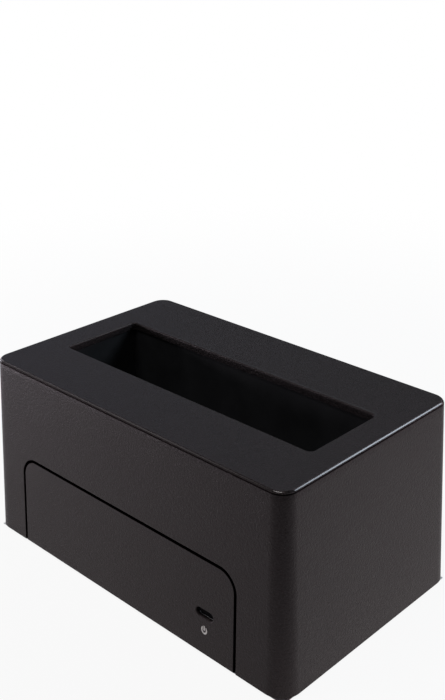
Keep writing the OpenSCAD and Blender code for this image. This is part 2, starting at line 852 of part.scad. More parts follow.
// Front outline of the data socket with its two upper corners cut
module usb_outline(w, h, bevel) {
    polygon([[-w / 2, 0], [w / 2, 0], [w / 2, h - bevel], [w / 2 - bevel, h],
        [bevel - w / 2, h], [-w / 2, h - bevel]]);
}

module usb_shell() {
    color(metal)
        translate([usb_x, face_y, board_top])
            rotate([90, 0, 0])
                difference() {
                    linear_extrude(usb_l)
                        usb_outline(usb_w, usb_h, usb_bevel);
                    translate([0, usb_t, -cut])
                        linear_extrude(usb_l - usb_t + cut)
                            usb_outline(usb_in_w, usb_in_h, usb_bevel - usb_t / 2);
                }
}

module usb_insert() {
    depth = usb_l - usb_t - usb_inset - seat;
    color([0.1, 0.22, 0.55])
        union() {
            difference() {
                translate([usb_x, face_y - usb_inset, board_top + usb_t + seat])
                    rotate([90, 0, 0])
                        linear_extrude(depth)
                            usb_outline(usb_in_w - 2 * seat, usb_in_h - 2 * seat, usb_bevel);
                translate([usb_x - usb_hole_w / 2, face_y - usb_hole_l, usb_hole_z])
                    cube([usb_hole_w, usb_hole_l, usb_hole_h]);
                translate([usb_x - usb_upper_w / 2, face_y - usb_hole_l, usb_upper_z])
                    cube([usb_upper_w, usb_hole_l, usb_upper_h]);
            }
            translate([usb_x - usb_tongue_w / 2, face_y - usb_hole_l - bite, usb_tongue_z])
                cube([usb_tongue_w, usb_tongue_l, usb_tongue_h]);
            translate([usb_x - usb_blade_w / 2, face_y - usb_hole_l - bite, usb_blade_z])
                cube([usb_blade_w, usb_tongue_l, usb_blade_h]);
        }
}

module usb_contacts() {
    y0 = face_y - usb_hole_l;
    color(gold) {
        for (x = [-usb_pin_x, usb_pin_x])
            for (z = [usb_tongue_z - usb_pin_t, usb_tongue_z + usb_tongue_h])
                translate([usb_x + x - usb_pin_w / 2, y0, z])
                    cube([usb_pin_w, usb_pin_l, usb_pin_t]);
        for (i = [-1, 0, 1])
            translate([usb_x + i * usb_upper_x - usb_pin_w / 2, y0, usb_blade_z - usb_pin_t])
                cube([usb_pin_w, usb_pin_l, usb_pin_t]);
    }
}

module jack_body() {
    color([0.06, 0.06, 0.065])
        difference() {
            translate([jack_x - jack_w / 2, jack_y0, board_top])
                cube([jack_w, jack_l, jack_h]);
            translate([jack_x, face_y - jack_hole_l, jack_z])
                rotate([-90, 0, 0])
                    cylinder(d = jack_hole_d, h = jack_hole_l + cut, $fn = fine);
            translate([jack_x, face_y - jack_pin_short - jack_pin_l, jack_z])
                rotate([-90, 0, 0])
                    cylinder(d = jack_pin_d + 2 * screw_gap, h = jack_pin_l, $fn = mid);
            for (p = jack_tails)
                translate([p[0], p[1], board_top])
                    cube([tail_w + 2 * seat, tail_t + 2 * seat, 2 * tail_in], center = true);
        }
}

module jack_pin() {
    color(metal)
        translate([jack_x, face_y - jack_pin_short - jack_pin_l, jack_z])
            rotate([-90, 0, 0])
                union() {
                    cylinder(d = jack_pin_d, h = jack_pin_l - jack_pin_d / 2, $fn = mid);
                    translate([0, 0, jack_pin_l - jack_pin_d / 2])
                        sphere(d = jack_pin_d, $fn = mid);
                }
}

module jack_terminals() {
    color(metal)
        for (p = jack_tails)
            translate([p[0] - tail_w / 2, p[1] - tail_t / 2, board_top - tail_l])
                cube([tail_w, tail_t, tail_l + tail_in]);
}

module switch_housing() {
    color([0.07, 0.07, 0.075])
        difference() {
            union() {
                translate([switch_x - switch_w / 2, switch_y0, switch_z - switch_h / 2])
                    cube([switch_w, switch_l + bite, switch_h]);
                translate([switch_x - switch_w / 2 - bezel_w, port_y, switch_z - switch_h / 2 - bezel_w])
                    cube([switch_w + 2 * bezel_w, bezel_t, switch_h + 2 * bezel_w]);
                translate([switch_x - cavity_w / 2, switch_y0, board_top])
                    cube([cavity_w, switch_foot_y - switch_y0, switch_axis - switch_h / 2 + bite]);
            }
            translate([switch_x - cavity_w / 2, axle_y - cavity_l, switch_z - cavity_h / 2])
                cube([cavity_w, case_d, cavity_h]);
            translate([switch_x - switch_w / 2 - cut, axle_y, switch_z])
                rotate([0, 90, 0])
                    cylinder(d = axle_d + 2 * axle_gap, h = switch_w + 2 * cut, $fn = mid);
            for (p = switch_tails)
                translate([p[0], p[1], board_top])
                    cube([tail_w + 2 * seat, tail_t + 2 * seat, 2 * tail_in], center = true);
        }
}

module switch_rocker() {
    axle_l = switch_w - 2 * rocker_gap;
    color([0.05, 0.05, 0.05])
        translate([switch_x, axle_y, switch_z])
            rotate([rocker_tilt, 0, 0])
                union() {
                    difference() {
                        intersection() {
                            translate([-rocker_w / 2, 0, 0])
                                rotate([0, 90, 0])
                                    cylinder(r = rocker_r, h = rocker_w, $fn = fine);
                            translate([-rocker_w, -rocker_root, -rocker_r])
                                cube([2 * rocker_w, rocker_root + rocker_rise, 2 * rocker_r]);
                        }
                        translate([-rocker_w, rocker_rise - rocker_hollow + rocker_dish, 0])
                            rotate([0, 90, 0])
                                cylinder(r = rocker_dish, h = 2 * rocker_w, $fn = fine);
                    }
                    translate([-axle_l / 2, 0, 0])
                        rotate([0, 90, 0])
                            cylinder(d = axle_d, h = axle_l, $fn = mid);
                }
}

module switch_terminals() {
    color(metal)
        for (p = switch_tails)
            translate([p[0] - tail_w / 2, p[1] - tail_t / 2, board_top - tail_l])
                cube([tail_w, tail_t, tail_l + tail_in]);
}

upper_case();
front_panel();
indicator_lens();
lower_case();
rubber_feet();
base_screws();
drive_guide();
guide_screws();
main_board();
board_screws();
sata_socket();
sata_contacts();
bridge_chip();
support_chips();
crystal();
power_inductors();
smoothing_capacitors();
chip_components();
status_led();
led_leads();
usb_shell();
usb_insert();
usb_contacts();
jack_body();
jack_pin();
jack_terminals();
switch_housing();
switch_rocker();
switch_terminals();
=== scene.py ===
"""Looks of a desktop drive dock: skins, finishes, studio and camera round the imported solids."""

import math

import bmesh
import bpy
import numpy as np
from bpy.props import FloatProperty, FloatVectorProperty, PointerProperty
from mathutils import Matrix, Vector


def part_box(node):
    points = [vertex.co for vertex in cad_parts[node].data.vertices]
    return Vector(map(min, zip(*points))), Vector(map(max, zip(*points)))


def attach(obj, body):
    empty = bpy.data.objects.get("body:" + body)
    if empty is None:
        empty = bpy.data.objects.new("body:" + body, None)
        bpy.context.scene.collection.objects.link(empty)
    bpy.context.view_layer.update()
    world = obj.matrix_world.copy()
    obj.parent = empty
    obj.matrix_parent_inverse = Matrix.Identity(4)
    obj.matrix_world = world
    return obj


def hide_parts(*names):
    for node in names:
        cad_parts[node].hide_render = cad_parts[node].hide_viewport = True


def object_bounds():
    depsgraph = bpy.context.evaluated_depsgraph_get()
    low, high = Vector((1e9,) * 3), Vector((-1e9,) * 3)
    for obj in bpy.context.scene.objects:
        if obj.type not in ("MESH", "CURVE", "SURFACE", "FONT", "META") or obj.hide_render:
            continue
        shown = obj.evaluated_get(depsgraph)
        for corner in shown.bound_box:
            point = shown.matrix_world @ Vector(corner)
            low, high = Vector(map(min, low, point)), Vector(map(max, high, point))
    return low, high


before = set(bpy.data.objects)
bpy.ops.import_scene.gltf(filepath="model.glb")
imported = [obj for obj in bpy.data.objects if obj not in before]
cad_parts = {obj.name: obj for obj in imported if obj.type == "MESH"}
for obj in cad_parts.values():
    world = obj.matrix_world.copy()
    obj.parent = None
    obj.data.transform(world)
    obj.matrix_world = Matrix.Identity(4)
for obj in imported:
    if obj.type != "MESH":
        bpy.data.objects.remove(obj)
CAD_BOX = [[float(v) for v in corner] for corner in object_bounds()]

bl_info = {
    "name": "Drive Dock",
    "version": (1, 0, 0),
    "blender": (4, 5, 0),
    "location": "View3D > Sidebar > Dock",
    "description": "Builds the skins, finishes and studio of a desktop drive dock",
    "category": "Object",
}

MM = 0.001
QUARTER = np.pi / 2
# Points closer than this are welded
WELD = 2e-7
# Faces whose polish is no higher than this lie inside a seam and take the painted deep shade of the seam
# finish
DEEP = -0.99
# Polish of the rows over the top edge, from the wall up to the top. The negative rows next to the wall are
# painted shade, a dark line under the polished band
EDGE_POLISH_AND_SHADE = [-0.5, -0.9, -0.9, -0.4, 0.4, 1.0, 1.0, 1.0, 1.0, 0.4, 0.0, 0.0, 0.0]


def size(name, description, default):
    """A length in metres that a user may change."""
    return FloatProperty(name=name, description=description, default=default, unit="LENGTH", precision=5)


def turn(name, description, degrees):
    """An angle that a user may change."""
    return FloatProperty(name=name, description=description, default=math.radians(degrees), unit="ROTATION")


def tint(name, description, default):
    """A colour that a user may change."""
    return FloatVectorProperty(name=name, description=description, default=default, subtype="COLOR",
                               min=0, max=1)


class CaseSizes(bpy.types.PropertyGroup):
    """Sizes of the upper case and its slot."""

    width: size("Width", "Width of the case at its top", 0.1275)
    depth: size("Depth", "Depth of the case at its top", 0.077)
    top: size("Top", "Height of the top over the table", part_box("upper_case")[1][2])
    foot: size("Foot gap", "Height of the case bottom over the table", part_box("upper_case")[0][2])
    corner: size("Corner radius", "Radius of the upright corners at the top", 0.005)
    draft: turn("Draft", "Outward slope of the walls towards the base", 1.5)
    edge: size("Edge radius", "Polished rounding of the top edge", 0.0010)
    wall: size("Wall", "Thickness of the walls", 0.0024)
    lid: size("Lid", "Thickness of the top", 0.0025)
    slot_length: size("Slot length", "Length of the slot", 0.1065)
    slot_width: size("Slot width", "Width of the slot", 0.030)
    slot_x: size("Slot sideways", "Sideways place of the slot", 0.0006)
    slot_y: size("Slot depthways", "Place of the slot from front to rear", -0.0009)
    slot_corner: size("Slot corner", "Radius of the slot corners", 0.0015)
    slot_edge: size("Slot edge", "Rounding of the slot mouth", 0.0007)
    boss: size("Boss", "Diameter of the screw bosses", 0.007)
    boss_in: size("Boss inset", "Distance of the boss axes from the case sides", 0.0082)
    boss_bore: size("Boss bore", "Diameter of the holes in the bosses", 0.00312)
    boss_foot: size("Boss foot", "Height of the lower end of the bosses", 0.006)


class FrontSizes(bpy.types.PropertyGroup):
    """Sizes of the arched front panel and its indicator."""

    arch_width: size("Arch width", "Width of the arched opening", 0.0966)
    arch_height: size("Arch height", "Height of the opening over the case bottom", 0.0309)
    arch_x: size("Arch sideways", "Sideways place of the opening", -0.0006)
    arch_corner: size("Arch corner", "Radius of the upper corners of the opening", 0.0065)
    seam: size("Seam", "Width of the seam round the panel", 0.0008)
    round: size("Edge rounding", "Rounding of the edges beside the seam", 0.0002)
    lip: size("Lip", "How far the panel reaches behind the case", 0.002)
    lip_hold: size("Lip hold", "Width of the lip on the panel itself", 0.003)
    lip_thick: size("Lip thickness", "Thickness of the lip", 0.0012)
    lip_gap: size("Lip gap", "Gap between the lip and the case", 0.00015)
    boss_x: size("Panel boss", "Distance of the panel bosses from its middle", 0.024)
    boss_rise: size("Panel boss height", "Height of the panel bosses", 0.014)
    window_x: size("Window sideways", "Sideways place of the indicator", 0.0356)
    window_z: size("Window height", "Height of the indicator over the table", 0.0142)
    window_length: size("Window length", "Length of the indicator", 0.0068)
    window_height: size("Window width", "Width of the indicator", 0.0027)
    lens_sink: size("Lens sink", "Depth of the lens behind the panel face", 0.0011)
    lens_crown: size("Lens crown", "Height of the lens crown", 0.00025)
    lens_rim: size("Lens rim", "Width of the rim behind the lens", 0.001)
    sign_x: size("Sign sideways", "Sideways place of the printed power sign", 0.0355)
    sign_z: size("Sign height", "Height of the printed power sign", 0.00905)
    sign_radius: size("Sign radius", "Radius of the sign's ring at the middle of its line", 0.00102)
    sign_line: size("Sign line", "Half the width of the sign's line", 0.00028)


class RearSizes(bpy.types.PropertyGroup):
    """Sizes of the rear recess and of the holes in its floor."""

    left: size("Left end", "Left end of the recess", -0.034)
    right: size("Right end", "Right end of the recess", 0.040)
    low: size("Lower edge", "Lower edge of the recess", 0.0204)
    high: size("Upper edge", "Upper edge of the recess", 0.0405)
    floor: size("Floor", "Distance of the recess floor from the middle", 0.0364)
    gap: size("Gap", "Gap round the sockets", 0.00025)
    switch_x: size("Switch sideways", "Sideways place of the switch", 0.030)
    switch_z: size("Switch height", "Height of the rocker axis", 0.0306)
    switch_y: size("Switch depthways", "Distance of the rocker axis from the middle", 0.0356)
    switch_width: size("Switch width", "Width of the switch housing", 0.0094)
    switch_height: size("Switch length", "Height of the switch housing", 0.015)
    rocker_width: size("Rocker width", "Width of the rocker", 0.0068)
    rocker_radius: size("Rocker radius", "Radius of the rocker round its axis", 0.0062)
    rocker_rise: size("Rocker rise", "Height of the rocker ends above its axis", 0.003)
    rocker_root: size("Rocker root", "Depth of the rocker below its axis", 0.002)
    rocker_dish: size("Rocker dish", "Radius of the hollow in the rocker face", 0.020)
    rocker_hollow: size("Rocker hollow", "Depth of the hollow in the rocker face", 0.0009)
    rocker_tilt: turn("Rocker tilt", "Tilt of the rocker at rest", 8.0)
    axle: size("Axle", "Diameter of the rocker axle", 0.002)
    axle_length: size("Axle length", "Length of the rocker axle", 0.0088)


class DockColours(bpy.types.PropertyGroup):
    """Colours of the dock's finishes."""

    shell: tint("Shell", "Moulded case, panel and base", (0.0190, 0.0160, 0.0167))
    guide: tint("Guide", "Guide inside the slot", (0.022, 0.022, 0.024))
    sign: tint("Sign", "Printed power sign", (1.0, 0.95, 0.90))
    lens: tint("Lens", "Tinted indicator lens", (0.006, 0.006, 0.007))
    # Painted highlight: a pale colour for the light caught along the lens's lower edge and for the glint at
    # its left end
    lens_painted_highlight: tint("Lens highlight", "Thin clear edge of the indicator lens", (0.42, 0.41, 0.41))
    rubber: tint("Rubber", "Feet", (0.018, 0.018, 0.018))
    steel: tint("Steel", "Zinc-plated screws and terminals", (0.62, 0.63, 0.64))
    nickel: tint("Nickel", "Data socket shell", (0.70, 0.70, 0.71))
    gold: tint("Gold", "Flashed contacts", (0.83, 0.62, 0.27))
    insert: tint("Insert", "Data socket tongue", (0.03, 0.10, 0.34))
    board: tint("Board", "Solder mask", (0.012, 0.085, 0.038))
    chip: tint("Chip", "Moulded chip bodies", (0.022, 0.022, 0.024))
    ferrite: tint("Ferrite", "Inductor bodies", (0.07, 0.07, 0.075))
    can: tint("Can", "Capacitor cans", (0.72, 0.73, 0.75))
    ceramic: tint("Ceramic", "Small chip components", (0.34, 0.25, 0.17))
    lamp: tint("Lamp", "Clear lamp body", (0.72, 0.74, 0.80))


class StudioSettings(bpy.types.PropertyGroup):
    """Place of the camera that gives the photograph's view."""

    azimuth: turn("Azimuth", "Turn of the camera from straight in front", 44.0238)
    elevation: turn("Elevation", "Rise of the camera", 14.9499)
    roll: turn("Roll", "Turn of the camera about its own axis", -0.4508)
    distance: size("Distance", "Distance from the camera to the middle of the case", 0.3515742)
    pan: size("Pan", "Sideways offset of the camera's aim", -0.0032818)
    rise: size("Rise", "Upward offset of the camera's aim", -0.0888456)
    aim: size("Aim", "Height of the middle of the case", 0.0317)
    lens: FloatProperty(name="Lens", description="Focal length in millimetres", default=55.618,
                        subtype="DISTANCE_CAMERA")
    shift: FloatProperty(name="Shift", description="Vertical shift of the picture", default=-0.2286)
    floor: size("Floor", "Half the side of the floor", 4.0)


# Surfaces


def grid_quads(rows, columns, loop_rows=False, loop_columns=False):
    """Corner numbers of the quads of a grid kept row by row, joined round where a direction is a loop."""
    r = np.arange(rows if loop_rows else rows - 1)[:, None]
    c = np.arange(columns if loop_columns else columns - 1)[None, :]
    r1, c1 = (r + 1) % rows, (c + 1) % columns
    corners = r * columns + c, r * columns + c1, r1 * columns + c1, r1 * columns + c
    return np.stack(np.broadcast_arrays(*corners), -1)


def sheet(points, loop_rows=False, loop_columns=False):
    """Vertices and quads of a surface given as an array of rows, columns and coordinates."""
    rows, columns = points.shape[:2]
    return points.reshape(-1, 3), grid_quads(rows, columns, loop_rows, loop_columns).reshape(-1, 4)


def skin(node, parts, body, materials, sharp=35.0, polish_and_painted_shade=None):
    """One object from several surfaces, in place of a CAD node: equal points are welded, quads that lost a
    corner become triangles, and the faces of each closed shell are turned outwards. Polish, painted shade
    where it is negative, is a value for each point, and faces on which it is lowest take the second
    material, a painted deep shade."""
    name = node + "_skin"
    counts = np.cumsum([0] + [len(v) for v, _ in parts])
    points = np.concatenate([v for v, _ in parts])
    quads = np.concatenate([q + n for (_, q), n in zip(parts, counts)])
    places = np.round(points / WELD).astype(np.int64)
    _, first, welded = np.unique(places, axis=0, return_index=True, return_inverse=True)
    quads = welded.reshape(-1)[quads]
    gone = quads == np.roll(quads, -1, axis=1)
    whole = quads[~gone.any(1)]
    lost = gone.sum(1) == 1
    triangles = quads[lost][~gone[lost]].reshape(-1, 3)
    mesh = bpy.data.meshes.new(name)
    mesh.from_pydata(points[first].tolist(), [], whole.tolist() + triangles.tolist())
    shape = bmesh.new()
    shape.from_mesh(mesh)
    bmesh.ops.recalc_face_normals(shape, faces=shape.faces)
    shape.to_mesh(mesh)
    shape.free()
    mesh.polygons.foreach_set("use_smooth", np.ones(len(mesh.polygons), dtype=bool))
    mesh.set_sharp_from_angle(angle=math.radians(sharp))
    for material in materials:
        mesh.materials.append(material)
    if polish_and_painted_shade is not None:
        values = np.concatenate(polish_and_painted_shade)[first].astype(np.float32)
        mesh.attributes.new("polish_and_painted_shade", "FLOAT", "POINT").data.foreach_set("value", values)
        starts, corners = np.empty(len(mesh.polygons), np.int32), np.empty(len(mesh.loops), np.int32)
        mesh.polygons.foreach_get("loop_start", starts)
        mesh.loops.foreach_get("vertex_index", corners)
        deep = np.maximum.reduceat(values[corners], starts) <= DEEP
        mesh.polygons.foreach_set("material_index", deep.astype(np.int32))
    piece = bpy.data.objects.new(name, mesh)
    bpy.context.scene.collection.objects.link(piece)
    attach(piece, body)
    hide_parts(node)
    return piece


def spread(case, z):
    """How far the sloping wall has moved outwards at height z: the drop below the top times the slope."""
    return (case.top - z) * math.tan(case.draft)


def lap_plan(front, side, rear, arc):
    """One lap round a rounded rectangle seen from above, from the front left corner. Each point is a share of
    the straight half lengths plus an outward direction that is multiplied by the corner radius."""
    q = np.linspace(0, QUARTER, arc + 1)[1:-1]
    s, c, o = np.sin(q), np.cos(q), np.ones_like(q)
    f, w, r = np.ones_like(front), np.ones_like(side), np.ones_like(rear)
    px = np.concatenate([front, o, w, o, -rear, -o, -w, -o])
    py = np.concatenate([-f, -o, side, o, r, o, -side, -o])
    nx = np.concatenate([0 * f, s, w, c, 0 * r, -s, -w, -c])
    ny = np.concatenate([-f, -c, 0 * w, s, r, c, 0 * w, -s])
    return px, py, nx, ny


def laps(plan, stations):
    """Surface of laps: x is centre plus share times half length plus direction times radius, y likewise, one
    lap for each station of centre x, centre y, half length x, half length y, radius and height."""
    px, py, nx, ny = (p[None, :] for p in plan)
    cx, cy, lx, ly, r, z = (s[:, None] for s in stations.T)
    x = cx + px * lx + nx * r
    y = cy + py * ly + ny * r
    return np.stack([x, y, z + 0 * x], -1)


def station(cx, cy, lx, ly, r, z):
    """Rows of lap values from numbers or arrays of one length."""
    values = [np.atleast_1d(np.asarray(v, float)) for v in (cx, cy, lx, ly, r, z)]
    return np.stack(np.broadcast_arrays(*values), -1)


def cuts(*stretches):
    """Places along a line. Each stretch has a start, an end and a number of equal cells, and goes on from the
    one before it."""
    return np.concatenate([[stretches[0][0]]] + [np.linspace(a, b, n + 1)[1:] for a, b, n in stretches])


def arch_path(front, foot, inset, bottom, upright=9, arc=9, top=41):
    """Open outline of the arch from its lower left to its lower right, moved inwards by inset: two uprights,
    two quarter circles and a straight top, with the outward direction at each point."""
    half = front.arch_width / 2 - inset
    r = front.arch_corner - inset
    peak = foot + front.arch_height - inset
    q = np.linspace(0, QUARTER, 2 * arc - 1)[1:]
    s, c = np.sin(q), np.cos(q)
    rise = np.linspace(bottom, peak - r, upright)
    run = np.linspace(r - half, half - r, top)[1:]
    fall = rise[::-1][1:]
    x = np.concatenate([0 * rise - half, (r - half) - r * c, run, (half - r) + r * s, half + 0 * fall])
    z = np.concatenate([rise, (peak - r) + r * s, peak + 0 * run, (peak - r) + r * c, fall])
    nx = np.concatenate([0 * rise - 1, -c, 0 * run, s, 0 * fall + 1])
    nz = np.concatenate([0 * rise, s, 0 * run + 1, c, 0 * fall])
    return front.arch_x + x, z, nx, nz


def front_face(case, x, z, depth):
    """Points at a depth behind the sloping front wall: y is the depth less the wall's distance at z."""
    x, z = np.broadcast_arrays(x, z)
    return np.stack([x, -(case.depth / 2 + spread(case, z)) + depth, z], -1)


def tubes(centres, inner, outer, low, high, steps=24):
    """Upright tubes: a rectangle from inner to outer radius and low to high, turned round each centre."""
    a = np.linspace(0, 2 * np.pi, steps, endpoint=False)[None, :]
    r = np.array([inner, outer, outer, inner])[:, None]
    z = np.array([low, low, high, high])[:, None]
    ring = np.stack([r * np.cos(a), r * np.sin(a), z + 0 * a], -1)
    offsets = np.column_stack([centres, np.zeros(len(centres))])
    points, quads = sheet(ring, True, True)
    many = (points[None] + offsets[:, None]).reshape(-1, 3)
    numbers = (quads[None] + len(points) * np.arange(len(centres))[:, None, None]).reshape(-1, 4)
    return many, numbers


def pierced_plate(xs, zs, solid, y0, y1):
    """Flat plate from y0 to y1 made of the cells of a grid that are solid: two faces for each cell, and a
    wall wherever a solid cell meets an empty one."""
    nx, nz = len(xs), len(zs)
    x, z = np.meshgrid(xs, zs, indexing="ij")
    points = np.concatenate([np.stack([x, 0 * x + y, z], -1).reshape(-1, 3) for y in (y0, y1)])
    number = np.arange(nx * nz).reshape(nx, nz)
    i, j = np.nonzero(solid)
    cells = np.stack([number[i, j], number[i + 1, j], number[i + 1, j + 1], number[i, j + 1]], -1)
    padded = np.pad(solid, 1)
    i, j = np.nonzero(padded[1:, 1:-1] != padded[:-1, 1:-1])
    across = np.stack([number[i, j], number[i, j + 1]], -1)
    i, j = np.nonzero(padded[1:-1, 1:] != padded[1:-1, :-1])
    along = np.stack([number[i, j], number[i + 1, j]], -1)
    rims = np.concatenate([across, along])
    walls = np.concatenate([rims, rims[:, ::-1] + nx * nz], 1)
    return points, np.concatenate([cells, cells + nx * nz, walls])


def rounding(radius, steps=5):
    """Sideways and depthways parts of a quarter round, from the open face to the wall beside it."""
    q = np.linspace(0, QUARTER, steps)
    return radius * (1 - np.sin(q)), radius * (1 - np.cos(q))


def case_parts(case, front, rear):
    """Upper case: laps of a rounded rectangle carried up the outer wall, over the edge, across the top,
    through the slot, and back along the underside and the inner wall. The arch and the rear recess are left
    out of the laps and closed by rings of points that run from the laps to the edges of these openings."""
    margin = 2.4 * MM
    end_cells, arch_cells, rear_cells = 3, 56, 40
    side_points, corner_steps = 17, 16
    row_low, row_arch, row_high = 8, 16, 19
    cx, cy = case.width / 2 - case.corner, case.depth / 2 - case.corner
    left = front.arch_x - front.arch_width / 2 - margin
    right = front.arch_x + front.arch_width / 2 + margin
    arch_high = case.foot + front.arch_height + margin
    columns = cuts((-cx, left, end_cells), (left, right, arch_cells), (right, cx, end_cells))
    back_a, back_b = rear.right + margin, rear.left - margin
    back = cuts((cx, back_a, end_cells), (back_a, back_b, rear_cells), (back_b, -cx, end_cells + 1))
    plan = lap_plan(columns / cx, np.linspace(-1, 1, side_points), -back / cx, corner_steps)
    low, high = rear.low - margin, rear.high + margin
    heights = cuts((case.foot, low, row_low), (low, arch_high, row_arch - row_low),
                   (arch_high, high, row_high - row_arch), (high, case.top - 7 * MM, 3))
    upper = np.array([case.top - 3 * MM, case.top - case.edge - 0.06 * MM])
    under = case.top - case.lid
    q = np.linspace(0, QUARTER, len(EDGE_POLISH_AND_SHADE))
    wall_z = np.concatenate([heights, upper])
    outer = station(0, 0, cx, cy, case.corner + spread(case, wall_z), wall_z)
    edge_r, edge_z = case.corner - case.edge * (1 - np.cos(q)), case.top - case.edge * (1 - np.sin(q))
    edge = station(0, 0, cx, cy, edge_r, edge_z)
    lx, ly = case.slot_length / 2 - case.slot_corner, case.slot_width / 2 - case.slot_corner
    brim = station(0, 0, cx, cy, case.corner - case.edge, case.top)
    mouth = station(case.slot_x, case.slot_y, lx, ly, case.slot_corner + case.slot_edge, case.top)
    share = np.array([0.006, 0.2, 0.4, 0.6, 0.8, 0.97])[:, None]
    top = brim * (1 - share) + mouth * share
    away, down = rounding(case.slot_edge, 7)
    lip = station(case.slot_x, case.slot_y, lx, ly, case.slot_corner + away, case.top - down)
    shaft_z = np.array([case.top - case.slot_edge - 0.1 * MM, under])
    shaft = station(case.slot_x, case.slot_y, lx, ly, case.slot_corner, shaft_z)
    inner_z = np.concatenate([[under], heights[::-1]])
    inner = station(0, 0, cx, cy, case.corner + spread(case, inner_z) - case.wall, inner_z)
    stations = np.concatenate([outer, edge, top, lip, shaft, inner])
    points = laps(plan, stations)
    rows, lap = points.shape[:2]

    quads = grid_quads(rows, lap, True, True)
    keep = np.ones(quads.shape[:2], bool)
    a, b = end_cells, end_cells + arch_cells
    keep[np.r_[0:row_arch, rows - 1 - row_arch:rows], a:b] = False
    c = len(columns) + 2 * (corner_steps - 1) + side_points + end_cells
    d = c + rear_cells
    keep[np.r_[row_low:row_high, rows - 1 - row_high:rows - 1 - row_low], c:d] = False
    shell = points.reshape(-1, 3), quads[keep]

    # Ring from the laps to the arch, over its rounded edge, through the wall and back to the inner laps
    v = np.concatenate([np.arange(row_arch + 1), np.full(arch_cells, row_arch), np.arange(row_arch)[::-1]])
    u = np.concatenate([np.full(row_arch + 1, a), np.arange(a + 1, b + 1), np.full(row_arch, b)])
    x, z, nx, nz = arch_path(front, case.foot, 0.0, case.foot)
    away, down = rounding(front.round)
    away, down = np.r_[front.round + 0.3 * MM, away], np.r_[0.0, down]
    near = front_face(case, x + nx * away[:, None], z + nz * away[:, None], down[:, None])
    far = front_face(case, x + nx * away[::-1, None], z + nz * away[::-1, None], case.wall - down[::-1, None])
    ring = np.concatenate([points[v, u][None], near, far, points[rows - 1 - v, u][None]])
    ring_points, ring_quads = sheet(ring)
    w, k = ring.shape[:2]
    i = np.arange(w // 2 - 1)
    cap = np.stack([i, i + 1, w - 2 - i, w - 1 - i], -1) * k
    arch = ring_points, np.concatenate([ring_quads, cap, cap + k - 1])

    # Ring from the laps to the rear recess, down to its floor, round its back and out to the inner laps
    n, m = rear_cells, row_high - row_low
    up = np.arange(m)
    v = np.concatenate([np.full(n, row_low), row_low + up, np.full(n, row_high), row_high - up])
    u = np.concatenate([c + np.arange(n), np.full(m, d), d - np.arange(n), np.full(m, c)])
    s = np.concatenate([np.arange(n) / n, np.ones(m), 1 - np.arange(n) / n, np.zeros(m)])[None, :]
    t = np.concatenate([np.zeros(n), up / m, np.ones(n), 1 - up / m])[None, :]
    away, down = rounding(0.4 * MM)
    grow = np.r_[0.8 * MM, away, 0.0, 0.0, case.wall][:, None]
    x = (rear.right + grow) * (1 - s) + (rear.left - grow) * s
    z = (rear.low - grow) * (1 - t) + (rear.high + grow) * t
    y = case.depth / 2 + spread(case, z) - np.r_[0.0, down, 0.0, 0.0, 0.0][:, None]
    behind = rear.floor - case.wall
    y[-3:] = np.array([rear.floor, behind, behind])[:, None]
    ring = np.concatenate([points[v, u][None], np.stack([x, y, z], -1), points[rows - 1 - v, u][None]])
    recess = sheet(ring, False, True)

    # Floor of the recess with its three holes
    wide, tall = rear.switch_width / 2 + rear.gap, rear.switch_height / 2 + rear.gap
    switch = rear.switch_x - wide, rear.switch_x + wide, rear.switch_z - tall, rear.switch_z + tall
    holes = [hole_of("usb_shell", rear.gap), hole_of("jack_body", rear.gap), switch]
    more = 0.3 * MM
    xs = np.unique([rear.left - more, rear.right + more] + [e for h in holes for e in h[:2]])
    zs = np.unique([rear.low - more, rear.high + more] + [e for h in holes for e in h[2:]])
    mid_x, mid_z = (xs[:-1] + xs[1:])[:, None] / 2, (zs[:-1] + zs[1:])[None, :] / 2
    empty = [(mid_x > h[0]) & (mid_x < h[1]) & (mid_z > h[2]) & (mid_z < h[3]) for h in holes]
    plate = pierced_plate(xs, zs, ~np.any(empty, axis=0), behind + 0.01 * MM, rear.floor)

    bx, by = case.width / 2 - case.boss_in, case.depth / 2 - case.boss_in
    bosses = tubes(np.array([[-bx, -by], [-bx, by], [bx, -by], [bx, by]]), case.boss_bore / 2, case.boss / 2,
                   case.boss_foot, under + 0.4 * MM)
    parts = [shell, arch, recess, plate, bosses]
    # Gloss on the top edge and on the slot's lip, and a painted shade line under the edge's polished band
    polish_and_painted_shade = np.zeros(rows)
    first = len(outer)
    polish_and_painted_shade[first:first + len(edge)] = EDGE_POLISH_AND_SHADE
    first += len(edge) + len(top)
    polish_and_painted_shade[first:first + len(lip)] = 0.1
    # Painted shade round the arch: a half-dark row on the rounding beside the seam, then the rest of the
    # rounding, the seam wall and the back of the wall nearly black
    ring_painted_shade = np.zeros((w, k))
    ring_painted_shade[3] = -0.5
    ring_painted_shade[4:-1] = -1.0
    return parts, [np.repeat(polish_and_painted_shade, lap), ring_painted_shade.reshape(-1)] + [np.zeros(len(p)) for p, _ in parts[2:]]


def hole_of(node, gap):
    """Left, right, lower and upper edge of a hole that clears a CAD node by the gap."""
    low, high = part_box(node)
    return low[0] - gap, high[0] + gap, low[2] - gap, high[2] + gap


def pill_at(angles, length, height):
    """Distance from a pill's middle to its outline in each direction: to a flat side where the ray meets one,
    otherwise to the half circle at that end."""
    c, s = np.abs(np.cos(angles)), np.abs(np.sin(angles))
    half, r = (length - height) / 2, height / 2
    flat = r / np.maximum(s, 1e-9)
    end = half * c + np.sqrt(np.maximum(r * r - (half * s) ** 2, 0))
    return np.where(flat * c <= half, flat, end)


